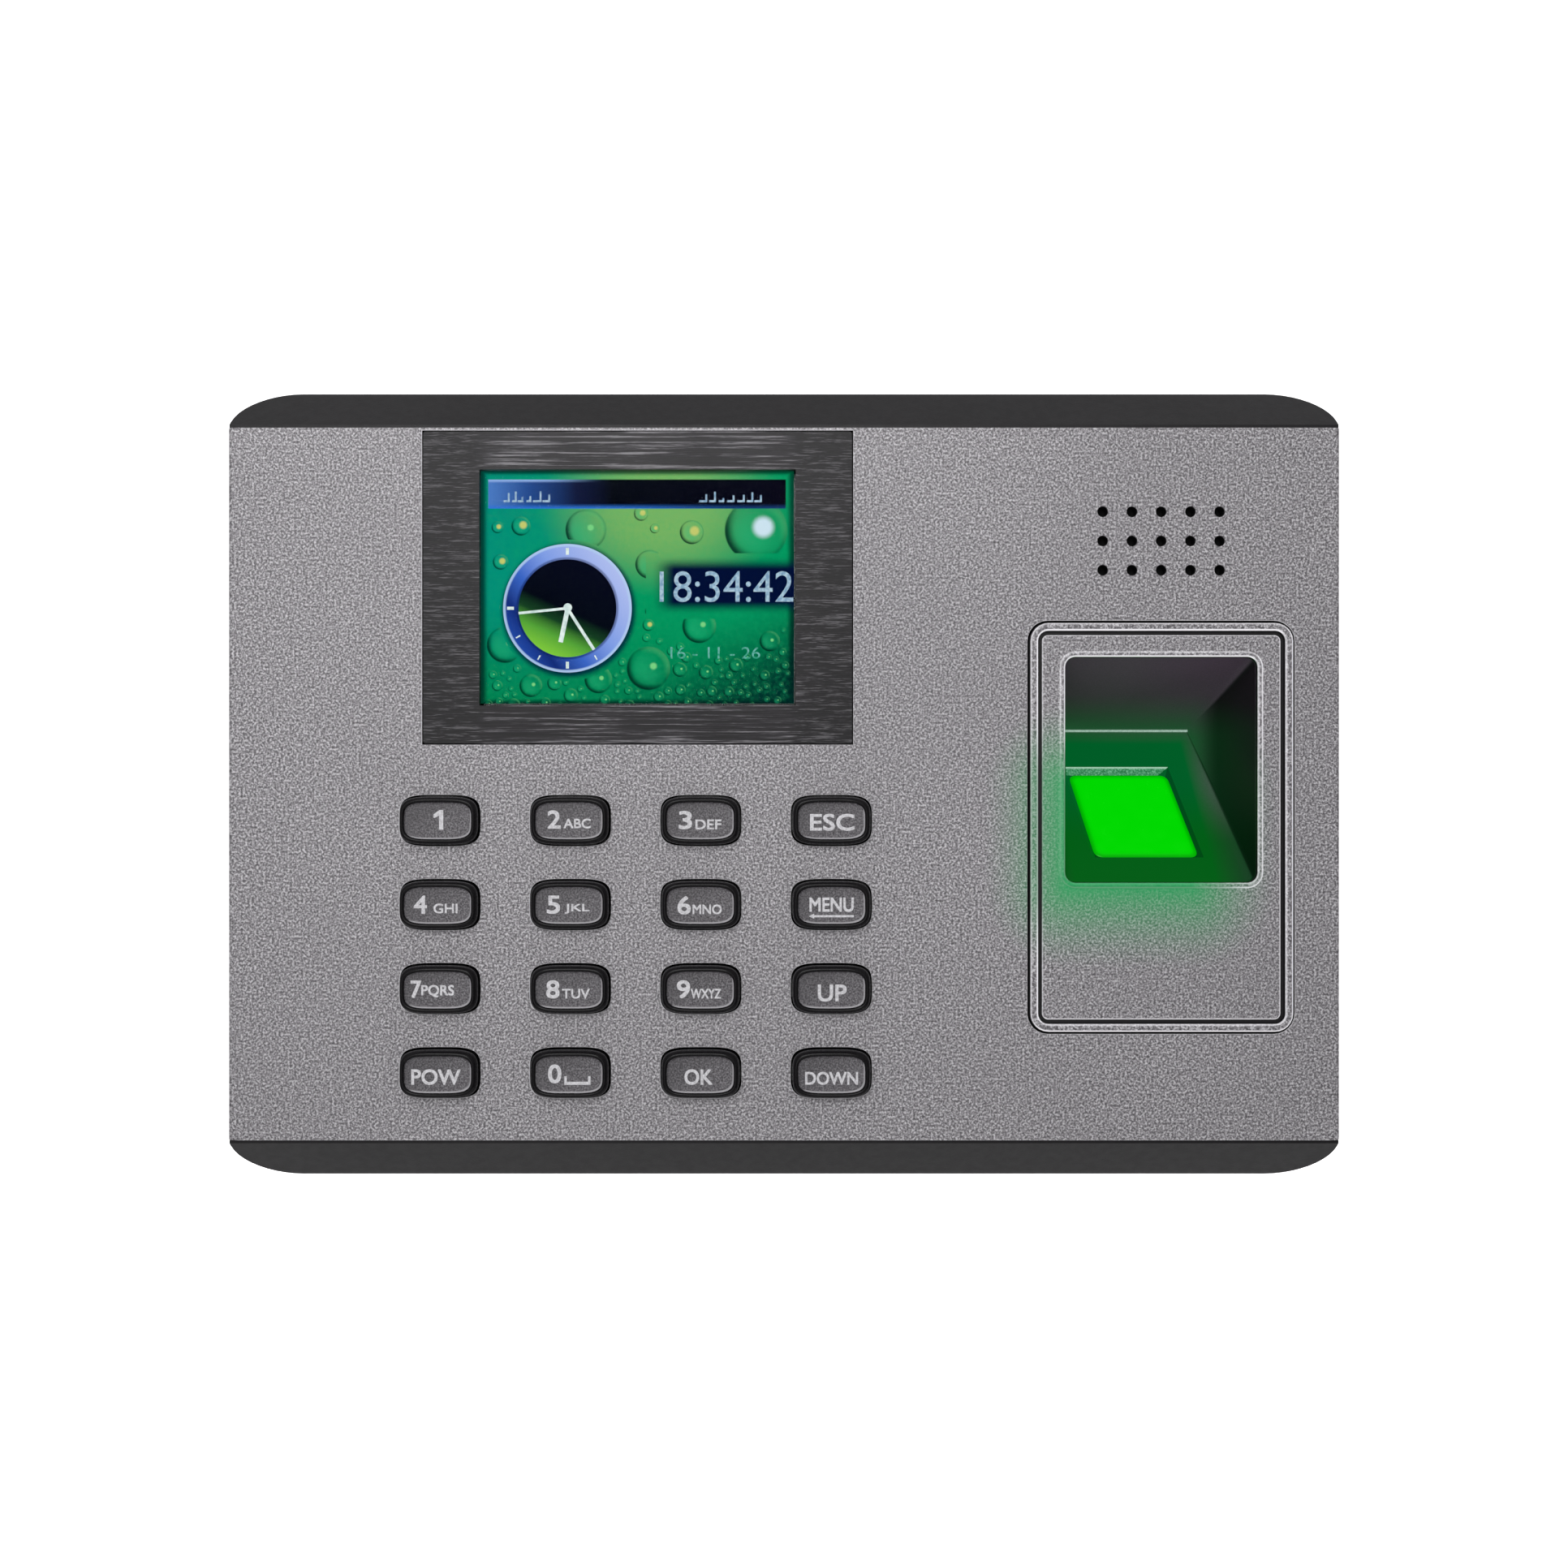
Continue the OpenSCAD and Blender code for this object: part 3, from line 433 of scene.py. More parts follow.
def lit_pane():
    """The window's lit face: even green, a little deeper at its edges, with a film of fingerprints."""
    made = Material("sensor_pane", 0.2, Emission_Strength=1, Specular_IOR_Level=0.1,
                    Base_Color=(0, 0.03, 0, 1))
    film = made.noise(2.5)
    rim = made.spread(made.axes(made.coordinates("UV"))["X"], 0, 1)
    glow = made.coats(srgb(0, 168, 0), (rim, srgb(0, 214, 0)),
                      (made.spread(film, 0.4, 0.75, 0, 0.06), srgb(10, 228, 6)))
    return made.finish(roughness=made.spread(film, 0.3, 0.7, 0.12, 0.28), emission=glow)


def lit_well():
    """Black satin plastic, grey higher up, with painted green light near its window and low down, painted
    shade on the wall facing left and a painted highlight along the ledge.
    """
    made = Material("well_black", 0.4, Emission_Strength=1, Specular_IOR_Level=0.05)
    low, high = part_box("sensor_well")
    # painted green light from the sensor, strongest near its window
    glow = near_window(made, -2, 14, 11.5, 11.5, 8.5, 1.5)
    grain = made.noise(0.22, rough=0.6)
    place = made.axes(made.place())
    # painted light: greener and darker lower down, grey higher up
    rise = made.spread(place["Z"], low.z + 8 * MM, low.z + 20 * MM)
    # painted shade on the wall that faces left
    side = made.spread(made.axes(made.coordinates("Normal"))["X"], -0.55, -0.85, 0, 0.9)
    plastic = made.ramp(grain, (0.3, srgb(98, 80, 100)), (0.7, srgb(112, 92, 114)))
    plastic = made.coats(made.mix(rise, srgb(34, 60, 46), plastic),
                         (side, srgb(10, 13, 12)), (glow, srgb(0, 8, 4)))
    green = made.coats(srgb(0, 92, 19), (rise, srgb(0, 92, 38)), (side, srgb(0, 50, 18)))
    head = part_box("sensor_prism")[1].z
    # painted highlight: a thin bright line along the ledge at the back of the well
    ledge_highlight = made.times(made.spread(place["Y"], high.y - 1.6 * MM, high.y - 1.4 * MM),
                       made.spread(place["Z"], head + 8.75 * MM, head + 8.6 * MM),
                       made.spread(place["Z"], head + 8.2 * MM, head + 8.35 * MM))
    sheen = made.mix(grain, srgb(60, 120, 90), srgb(190, 214, 200))
    light = made.coats(BLACK, (glow, green), (ledge_highlight, sheen))
    return made.finish(plastic, made.spread(grain, 0.3, 0.7, 0.34, 0.5), made.bump(grain, 0.02, 0.6), light)


def lit_bevel():
    """The chamfer over the window, where the light grazes the grain of the plastic."""
    made = Material("sensor_bevel", 0.4, Emission_Strength=1)
    grain = made.noise(0.3, rough=0.6)
    crest = made.spread(made.axes(made.coordinates("UV"))["Y"], 0.72, 0.86)
    light = made.mix(crest, made.ramp(grain, (0.36, srgb(14, 96, 48)), (0.5, srgb(44, 128, 82)),
                                      (0.64, srgb(104, 168, 128))),
                     made.mix(grain, srgb(110, 170, 134), srgb(176, 206, 186)))
    colour = made.ramp(grain, (0.35, srgb(20, 50, 32)), (0.65, srgb(50, 76, 60)))
    return made.finish(colour, None, made.bump(grain, 0.03), light)


def make_materials():
    """One finish for each material slot in the record."""
    made = {
        "grey_paint": grey_paint(),
        "bezel_black": brushed_black(),
        "key_black": glossy_black(),
        "well_black": lit_well(),
        "clear_window": clear_window(),
        "sensor_glass": lit_glass(),
        "board_green": circuit("board_green", srgb(16, 92, 46), srgb(34, 128, 70)),
        "board_blue": circuit("board_blue", srgb(18, 62, 128), srgb(40, 92, 160)),
    }
    metals = {
        "zinc_steel": ((166, 169, 173), 0.38),
        "cell_steel": ((205, 206, 208), 0.25),
        "screw_steel": ((178, 178, 182), 0.3),
        "can_aluminium": ((212, 214, 216), 0.3),
        "contact_gold": ((226, 188, 96), 0.22),
    }
    for name, (tint, roughness) in metals.items():
        made[name] = steel(name, srgb(*tint), roughness)
    # Dark and light tones, size of the grain in mm, roughness, contrast, and specular level where low
    plain = {
        "black_housing": ((21, 20, 22), (31, 29, 32), 0.24, 0.45, 0.5, 0.3),
        "lcd_glass": ((6, 8, 10), (14, 16, 18), 1, 0.2, 0.5),
        "white_plastic": ((222, 221, 216), (236, 235, 231), 0.4, 0.4, 0.5),
        "flex_amber": ((150, 88, 30), (188, 120, 52), 0.6, 0.35, 0.5),
        "black_optics": ((8, 8, 10), (18, 18, 20), 0.2, 0.25, 0.5),
        "green_lamp": ((90, 220, 100), (140, 245, 150), 0.5, 0.15, 0.5),
        "cable_black": ((30, 30, 32), (46, 46, 48), 0.3, 0.45, 0.5),
        "chip_black": ((24, 24, 26), (38, 38, 40), 0.15, 0.5, 0.6),
        "socket_ivory": ((214, 206, 184), (230, 224, 204), 0.3, 0.45, 0.5),
        "mat_rubber": ((44, 44, 46), (58, 58, 60), 0.25, 0.65, 0.5),
        "ribbon_grey": ((150, 152, 156), (176, 178, 182), 0.5, 0.45, 0.5),
        "foam_black": ((8, 8, 9), (18, 18, 19), 0.4, 0.9, 0.8),
        "cone_black": ((28, 28, 30), (50, 50, 52), 0.35, 0.8, 0.8),
        "magnet_grey": ((92, 93, 96), (120, 121, 124), 0.35, 0.5, 0.7),
        "wire_red": ((168, 22, 20), (196, 36, 32), 0.4, 0.4, 0.4),
        "battery_sleeve": ((42, 82, 140), (58, 102, 164), 0.6, 0.25, 0.4),
    }
    for name, (dark, light, *finish) in plain.items():
        made[name] = grained(name, srgb(*dark), srgb(*light), *finish)
    return made


def wear(piece, material):
    """Gives a piece one material all over."""
    piece.data.materials.clear()
    piece.data.materials.append(material)


# ---- pieces

def smooth(piece, angle):
    """Smooth shading, broken where faces meet at more than angle degrees."""
    mesh = piece.data
    mesh.polygons.foreach_set("use_smooth", [True] * len(mesh.polygons))
    mesh.set_sharp_from_angle(angle=math.radians(angle))


def refined(node, width, segments=3, cut_up=False):
    """A finer mesh of a CAD node whose sharp edges are rounded by width, as a moulding's are.

    cut_up splits its large faces first, which a face with a row of slots in it needs.
    """
    sharp = 32
    build = bmesh.new()
    build.from_mesh(NODES[node].data)
    bmesh.ops.remove_doubles(build, verts=build.verts, dist=1e-6)
    bmesh.ops.dissolve_limit(build, angle_limit=math.radians(0.5), verts=build.verts, edges=build.edges)
    if cut_up:
        bmesh.ops.triangulate(build, faces=[face for face in build.faces if len(face.verts) > 4])
    piece = from_build(node + "_shell", build)
    bevel = piece.modifiers.new("edges", "BEVEL")
    bevel.width = width
    bevel.segments = segments
    bevel.limit_method = "ANGLE"
    bevel.angle_limit = math.radians(sharp)
    bevel.miter_outer = "MITER_ARC"
    flat = piece.modifiers.new("flat_faces", "WEIGHTED_NORMAL")
    flat.weight = 100
    flat.keep_sharp = True
    smooth(piece, sharp)
    graph = bpy.context.evaluated_depsgraph_get()
    done = bpy.data.meshes.new_from_object(piece.evaluated_get(graph))
    piece.modifiers.clear()
    piece.data = done
    wear(piece, MATERIALS[SLOTS[node]])
    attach(piece, NODES[node]["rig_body"])
    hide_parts(node)


def join_rings(build, steps, closed=False):
    """A wall from each ring of points to the next, in the second's finish; closed joins the ends too."""
    rings = [([build.verts.new(point) for point in points], finish) for points, finish in steps]
    for (ring, _), (following, finish) in zip(rings, rings[1:] + rings[:closed]):
        for i in range(len(ring)):
            j = (i + 1) % len(ring)
            build.faces.new((ring[i], ring[j], following[j], following[i])).material_index = finish
    return rings[0][0], rings[-1][0]


def moulding(name, build, *materials):
    """A smooth piece with the mesh that was built, its finishes numbered in the order given."""
    bmesh.ops.recalc_face_normals(build, faces=build.faces)
    piece = from_build(name, build)
    smooth(piece, 50)
    for material in materials:
        piece.data.materials.append(material)
    return piece


def flat_piece(name, points, faces, material, uvs=None):
    """A flat piece that faces the front, with a place in the UV map for each corner if uvs is given."""
    piece = mesh_object(name, points, faces)
    face_forward(piece)
    if uvs:
        layer = piece.data.uv_layers.new(name="UVMap")
        for loop in piece.data.loops:
            layer.data[loop.index].uv = uvs[loop.vertex_index]
    wear(piece, material)
    return piece


# ---- sensor

# Steps across the sensor's surround, from its flange to the wall of the mouth, by the outline they
# follow: how far outside it, height over the panel, finish (0 painted, 1 bare)
# Bare steps stay black; in the groove and the gap round the insert this also stands in for their shade.
SURROUND_PROFILE = {
    "panel": [
        (0.8, -3.7, 1), (0.8, -2.6, 1), (0, -2.6, 1), (0, 0.08, 1), (-0.1, 0.27, 1), (-0.24, 0.39, 0),
        (-0.44, 0.45, 0), (-0.95, 0.45, 0), (-1.18, 0.38, 0), (-1.34, 0.2, 0), (-1.4, 0.05, 1),
        (-1.44, -0.34, 1), (-1.96, -0.34, 1), (-2.02, -0.12, 1), (-2.18, 0, 0), (-2.34, 0.01, 0)],
    "mouth": [
        (1.16, 0.01, 0), (1, 0.01, 0), (0.86, 0.1, 0), (0.66, 0.2, 0), (0.42, 0.24, 0), (0.2, 0.17, 0),
        (0.06, 0, 0), (0, -0.22, 1), (0, -0.8, 1), (1.2, -0.8, 1), (1.2, -3.7, 1)],
}


def round_oblong(low, high, grow, radius, steps=7):
    """Points round a rectangle in X and Z, grown on every side, with round corners."""
    radius += grow
    points = []
    for x, z, start in ((high.x, high.z, 0), (low.x, high.z, 90), (low.x, low.z, 180), (high.x, low.z, 270)):
        side, rise = (1 if x == high.x else -1), (1 if z == high.z else -1)
        centre = (x + side * (grow - radius), z + rise * (grow - radius))
        for i in range(steps):
            turn = math.radians(start + 90 * i / (steps - 1))
            points.append((centre[0] + radius * math.cos(turn), centre[1] + radius * math.sin(turn)))
    return points


def make_surround():
    """The insert round the finger well: a raised rounded rim, a groove left black, which stands in for its
    shade, and a bead round the mouth.
    """
    low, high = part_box("sensor_bezel")
    well_low, well_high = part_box("sensor_well")
    flange, border = Vector((0.8, 0, 0.8)) * MM, Vector((2.5, 0, 2.5)) * MM
    outlines = {"panel": (low + flange, high - flange, 3 * MM),
                "mouth": (well_low + border, well_high - border, 1.6 * MM)}
    rings = []
    for outline, steps in SURROUND_PROFILE.items():
        corner_a, corner_b, radius = outlines[outline]
        for grow, height, finish in steps:
            points = round_oblong(corner_a, corner_b, grow * MM, radius)
            rings.append(([(x, FACE - height * MM, z) for x, z in points], finish))
    build = bmesh.new()
    join_rings(build, rings, closed=True)
    slot = SLOTS["sensor_bezel"]
    piece = moulding("sensor_surround", build, MATERIALS[slot], MATERIALS["black_housing"])
    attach(piece, TERMINAL)
    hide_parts("sensor_bezel")


def make_speaker_cloth():
    """Black cloth stretched behind the sound holes, inside the gasket, which also stands in for the shade
    seen through them.
    """
    low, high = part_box("speaker_gasket")
    middle, radius = (low + high) / 2, (high.x - low.x) / 2 - 0.7 * MM
    steps = 48
    points = [(middle.x + radius * c, low.y + depth * MM, middle.z + radius * s)
              for depth in (0.05, 0.2) for c, s in circle(steps)]
    faces = [list(range(steps)), list(range(steps, 2 * steps))]
    faces += [[i, (i + 1) % steps, steps + (i + 1) % steps, steps + i] for i in range(steps)]
    cloth = mesh_object("speaker_cloth", points, faces)
    wear(cloth, MATERIALS["foam_black"])
    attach(cloth, TERMINAL)


# ---- keys

KEY_TOP_HEIGHT = 1.25  # mm over the panel
KEY_CROWN = 0.03
# Each piece of a key's legend: text, place across and up from the middle, width, height
KEY_LEGENDS = {
    "key_1": [("1", 0.1, 0.15, 1.4, 3)],
    "key_2": [("2", -2.4, 0.2, 2, 2.8), ("ABC", 1.3, -0.45, 4.3, 1.5)],
    "key_3": [("3", -2.4, 0.1, 2, 2.8), ("DEF", 1.3, -0.6, 4.1, 1.5)],
    "key_escape": [("ESC", 0.1, -0.25, 7, 2.6)],
    "key_4": [("4", -2.8, 0.1, 2, 2.8), ("GHI", 1.25, -0.5, 3.8, 1.5)],
    "key_5": [("5", -2.5, 0.1, 2, 2.8), ("JKL", 1.3, -0.55, 3.9, 1.5)],
    "key_6": [("6", -2.6, 0, 2, 2.8), ("MNO", 1.1, -0.65, 4.6, 1.5)],
    "key_menu": [("MENU", 0, 0.1, 7, 2.2)],
    "key_7": [("7", -3.5, 0.1, 1.6, 2.7), ("PQRS", 0, -0.2, 5.2, 1.9)],
    "key_8": [("8", -2.6, 0.1, 2, 2.8), ("TUV", 1.1, -0.6, 4.4, 1.5)],
    "key_9": [("9", -2.7, 0.1, 2, 2.8), ("WXYZ", 0.9, -0.6, 4.8, 1.5)],
    "key_up": [("UP", 0.1, -0.5, 4.5, 2.6)],
    "key_power": [("POW", -0.3, -0.4, 7.8, 2.4)],
    "key_0": [("0", -2.3, 0.1, 2, 2.9)],
    "key_ok": [("OK", -0.3, -0.4, 4.4, 2.4)],
    "key_down": [("DOWN", 0, -0.6, 8.4, 2)],
}
# Steps across a key from its foot to its top: inset, height over the panel, finish (0 glossy, 1 matt)
KEY_PROFILE = [
    (1.3, -5.1, 0), (1.3, -4, 0), (-0.65, -3.95, 0), (-0.7, -3.85, 0), (-0.7, -2.9, 0), (-0.62, -2.8, 0),
    (0, -2.8, 0), (0, 0.55, 0), (0.05, 0.98, 0), (0.16, 1.34, 0), (0.32, 1.6, 0), (0.48, 1.72, 0),
    (0.62, 1.75, 0), (0.74, 1.7, 0), (0.84, 1.58, 0), (0.92, 1.42, 0), (1, 1.33, 1), (1.1, 1.27, 1),
    (1.24, 1.25, 1),
]


def oblong(half_width, half_height, steps=96):
    """Points round a full-cornered oblong, a superellipse of power 4, in X and Z."""
    return [(math.copysign(abs(c) ** 0.5, c) * half_width, math.copysign(abs(s) ** 0.5, s) * half_height)
            for c, s in circle(steps)]


def pad_height(u, w, half_u, half_w):
    """How far the top of a key stands over the panel at u, w from its middle: a very slight crown."""
    outward = min(1, (u / half_u) ** 4 + (w / half_w) ** 4)
    return (KEY_TOP_HEIGHT + KEY_CROWN * (1 - outward)) * MM


def key_mesh(node):
    """A moulded key: foot and flange behind the panel, glossy rolled rim and matt top in front of it."""
    low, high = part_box(node)
    middle = (low + high) / 2
    half = (high - low) / 2 - Vector((1, 0, 1)) * MM
    half_u, half_w = half.x - KEY_PROFILE[-1][0] * MM, half.z - KEY_PROFILE[-1][0] * MM
    rings = []
    for inset, height, finish in KEY_PROFILE:
        outline = oblong(half.x - inset * MM, half.z - inset * MM)
        rings.append(([(middle.x + u, FACE - height * MM, middle.z + w) for u, w in outline], finish))
    for share in (0.92, 0.8, 0.6, 0.35):
        outline = oblong(half_u * share, half_w * share)
        rings.append(([(middle.x + u, FACE - pad_height(u, w, half_u, half_w), middle.z + w)
                       for u, w in outline], 1))
    build = bmesh.new()
    foot, top = join_rings(build, rings)
    build.faces.new(foot).material_index = 0
    build.faces.new(top).material_index = 1
    cap = moulding(node + "_cap", build, MATERIALS["key_black"], KEY_TOP)
    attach(cap, NODES[node]["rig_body"])
    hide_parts(node)
    return middle, half_u, half_w


def text_outline(text, width, height):
    """Corners and faces of a short generic legend, fitted to a width and height about its middle.

    It is set in Blender's own font, apart from a lone 1, which is drawn with its flag.
    """
    if text == "1":
        shape = [(0.14, -0.5), (0.5, -0.5), (0.5, 0.5), (0.2, 0.5), (-0.5, 0.26), (-0.5, 0.12), (0.14, 0.28)]
        return [(x * width, y * height) for x, y in shape], [[0, 1, 2, 6], [2, 3, 4, 5, 6]]
    curve = bpy.data.curves.new("legend", "FONT")
    curve.body = text
    curve.size = 1
    curve.resolution_u = 4
    holder = add_object("legend_text", curve)
    graph = bpy.context.evaluated_depsgraph_get()
    mesh = bpy.data.meshes.new_from_object(holder.evaluated_get(graph))
    bpy.data.objects.remove(holder)
    across = fitted([corner.co.x for corner in mesh.vertices], width)
    up = fitted([corner.co.y for corner in mesh.vertices], height)
    faces = [list(face.vertices) for face in mesh.polygons]
    bpy.data.meshes.remove(mesh)
    return list(zip(across, up)), faces


def fitted(values, size):
    """Numbers moved and stretched so that their range is size, with its middle at 0."""
    low, high = min(values), max(values)
    return [(value - (low + high) / 2) * size / (high - low) for value in values]


def key_legend(node, middle, half_u, half_w):
    """The printed legend of a key, following the crown of its top."""
    points, faces = [], []

    def print_shape(flat, shape_faces, at_u, at_w):
        start = len(points)
        lift = (0.03 + 0.000004 * start) * MM  # shapes that overlap lie in slightly different planes
        for u, w in flat:
            u, w = (u + at_u) * MM, (w + at_w) * MM
            points.append((middle.x + u, FACE - pad_height(u, w, half_u, half_w) - lift, middle.z + w))
        faces.extend([start + i for i in face] for face in shape_faces)

    for text, at_u, at_w, width, height in KEY_LEGENDS[node]:
        flat, text_faces = text_outline(text, width, height)
        weight = 0.028 * height
        for side, rise in ((-1, -1), (1, -1), (-1, 1), (1, 1)):
            print_shape(flat, text_faces, at_u + side * weight, at_w + rise * weight)
    if node == "key_menu":
        shaft = [(-3, -0.18), (3.6, -0.18), (3.6, 0.18), (-3, 0.18)]
        head = [(-3.7, 0), (-2.8, -0.42), (-2.8, 0.42)]
        print_shape(shaft, [[0, 1, 2, 3]], 0, -1.75)
        print_shape(head, [[0, 1, 2]], 0, -1.75)
    if node == "key_0":
        tray = [(-2.1, 0.7), (-2.1, -0.7), (2.1, -0.7), (2.1, 0.7),
                (1.7, 0.7), (1.7, -0.2), (-1.7, -0.2), (-1.7, 0.7)]
        print_shape(tray, [[0, 1, 6, 7], [1, 2, 5, 6], [2, 3, 4, 5]], 1.35, -0.95)
    legend = flat_piece(node + "_legend", points, faces, LEGEND)
    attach(legend, NODES[node]["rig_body"])


def face_forward(piece):
    """Turns every face of a flat piece towards the front."""
    build = bmesh.new()
    build.from_mesh(piece.data)
    build.normal_update()
    turned = [face for face in build.faces if face.normal.y > 0]
    bmesh.ops.reverse_faces(build, faces=turned)
    build.to_mesh(piece.data)
    build.free()


def key_top():
    """The matt top of a key: fine leather-like grain, with painted shade at the upper left and a painted
    highlight along its lip.
    """
    made = Material("key_top", 0.55)
    grain = made.noise(0.28, rough=0.65)
    # painted shade, darker towards the upper left
    across = made.axes(made.coordinates("Generated"))
    slope = made.maths("SUBTRACT", across["X"], across["Z"])
    facing = made.axes(made.coordinates("Normal"))
    # painted highlight on the lip where it faces up and to the left, along the lower and right edges
    lip_highlight = made.spread(made.maths("SUBTRACT", facing["Z"], facing["X"]), 0.12, 0.45)
    colour = made.coats(
        made.ramp(grain, (0.37, srgb(62, 59, 63)), (0.5, srgb(98, 95, 99)), (0.63, srgb(140, 138, 142))),
        (made.spread(slope, 0.35, -0.5, 0, 0.45), srgb(52, 50, 53)), (lip_highlight, srgb(168, 166, 170)))
    return made.finish(colour, made.spread(grain, 0.3, 0.7, 0.45, 0.7), made.bump(grain, 0.05, 0.8))


def legend_paint():
    """Pale grey pad print, a little broken up by the grain underneath."""
    made = Material("legend_print", 0.6)
    grain = made.noise(0.3, rough=0.6)
    colour = made.ramp(grain, (0.34, srgb(192, 190, 194)), (0.6, srgb(228, 227, 231)))
    return made.finish(colour, None, made.bump(grain, 0.03, 0.6))


# ---- display

HALF_PICTURE = (25.6, 19.1)  # mm
PICTURE_SCALE = 1.0114
LAYER_STEP = 0.008 * MM
CLOCK = (14.3, 22.5)  # middle of the clock, in mm from the picture's top left corner
CLOCK_RING = 9.2  # radius of the middle of its ring, in mm


def screen_uv(made):
    """Across the picture and up it, each from -1 to 1."""
    place = made.axes(made.place((1 / (HALF_PICTURE[0] * MM), 1, 1 / (HALF_PICTURE[1] * MM)), SCREEN))
    return place["X"], place["Z"]


def wallpaper(made):
    """Colour of the picture's background: teal to green, lime above the middle, dark in the lower right, with
    painted shade round its edges where the window's rim shades it.
    """
    across, up = screen_uv(made)
    wander = made.times(made.maths("SUBTRACT", made.noise(5), 0.5), 0.45)
    u, v = made.maths("ADD", across, wander), made.maths("ADD", up, wander)
    lime = made.node("TexGradient", gradient_type="SPHERICAL")
    spot = (SCREEN.x + 4 * MM, SCREEN.y, SCREEN.z + 13 * MM)
    made.feed(lime, {"Vector": made.place((1 / (21 * MM), 0, 1 / (15 * MM)), spot)})
    corner = made.maths("SUBTRACT", made.times(u, 0.75), v)
    # painted shade round the picture's edges, where the window's rim shades it
    painted_edge_shade = made.maths("MAXIMUM", made.size(across), made.size(up))
    return made.coats(
        srgb(0, 140, 120), (made.spread(u, -1, 0.1), srgb(0, 148, 94)),
        (made.spread(v, 0, -1), srgb(0, 126, 80)),
        (made.spread(lime.outputs["Fac"], 0, 0.75, 0, 0.95), srgb(122, 178, 98)),
        (made.spread(corner, 0.6, 1.6, 0, 0.94), srgb(0, 34, 38)),
        (made.spread(made.noise(0.7, rough=0.6), 0.35, 0.75, 0, 0.22), srgb(30, 170, 104)),
        (made.spread(painted_edge_shade, 0.945, 0.99, 0, 0.85), srgb(0, 26, 28)))


def lit(name):
    """A material for the lit picture."""
    return Material(name, 0.4, Base_Color=BLACK, Emission_Strength=1, Specular_IOR_Level=0)


def disc_uv(made):
    """Place on a round piece of the picture, from -1 to 1 each way, and its distance from the middle."""
    doubled = made.vector("MULTIPLY", made.coordinates("UV"), (2, 2, 0))[0]
    centred = made.vector("SUBTRACT", doubled, (1, 1, 0))[0]
    return centred, made.length(centred)


def slant(made, place, toward):
    """Position along a direction that points toward (across, up)."""
    return made.vector("DOT_PRODUCT", place, (*toward, 0))["Value"]


def droplet_material(name, shine, shine_colour, body=0):
    """A water drop on the wallpaper: dark crescent at the lower left, glow opposite, and a bright spot."""
    made = lit(name)
    place, length = disc_uv(made)
    low_left = slant(made, place, (-0.72, -0.69))
    rim = made.spread(length, 0.62, 0.93)
    edge = made.spread(length, 1, 0.94)
    spot = made.vector("DISTANCE", place, (0.22, 0.1, 0))["Value"]
    inner = made.times(made.spread(length, 0.95, 0.35), made.spread(low_left, -0.9, 0.5), 0.3)
    return made.finish(emission=made.coats(
        wallpaper(made),
        (made.times(made.spread(length, 1, 0.9), body), srgb(18, 146, 92)), (inner, srgb(40, 190, 130)),
        (made.times(made.spread(length, 0.8, 0.95), edge, 0.45), srgb(0, 66, 50)),
        (made.times(rim, edge, made.spread(low_left, -0.1, 0.75), 0.85), srgb(0, 34, 30)),
        (made.times(rim, edge, made.spread(low_left, -0.2, -0.8, 0, 0.35)), srgb(84, 190, 120)),
        (made.spread(spot, shine, shine * 0.45), shine_colour)))


def header_material():
    """The bar over the picture: blue at the left fading to black, with a blue glow along its foot."""
    made = lit("screen_header")
    u, v = screen_uv(made)
    colour = made.ramp(
        made.spread(u, -0.96, 0.94, smooth=False), (0, srgb(76, 122, 196)), (0.14, srgb(36, 72, 140)),
        (0.3, srgb(12, 22, 56)), (0.42, srgb(2, 4, 12)), (1, srgb(4, 4, 18)))
    foot = made.times(made.spread(v, 0.72, 0.665), made.spread(u, 0.75, -0.3, 0.25, 1))
    top = made.times(made.spread(v, 0.89, 0.915), made.spread(u, -0.2, -0.7))
    return made.finish(emission=made.coats(colour, (foot, srgb(44, 112, 214)), (top, srgb(140, 170, 226))))


def band_material():
    """The soft dark band behind the time."""
    made = lit("screen_band")
    u, v = screen_uv(made)
    cover = made.times(made.spread(v, 0.27, 0.15), made.spread(v, -0.24, -0.12), made.spread(u, 0.08, 0.24))
    return made.finish(emission=made.mix(cover, wallpaper(made), srgb(2, 14, 52)))


def hazy(name, size, detail, low, high, dark, light):
    """A lit colour that wavers a little between a dark and a light tone."""
    made = lit(name)
    return made.finish(emission=made.mix(made.spread(made.noise(size, detail), low, high), dark, light))


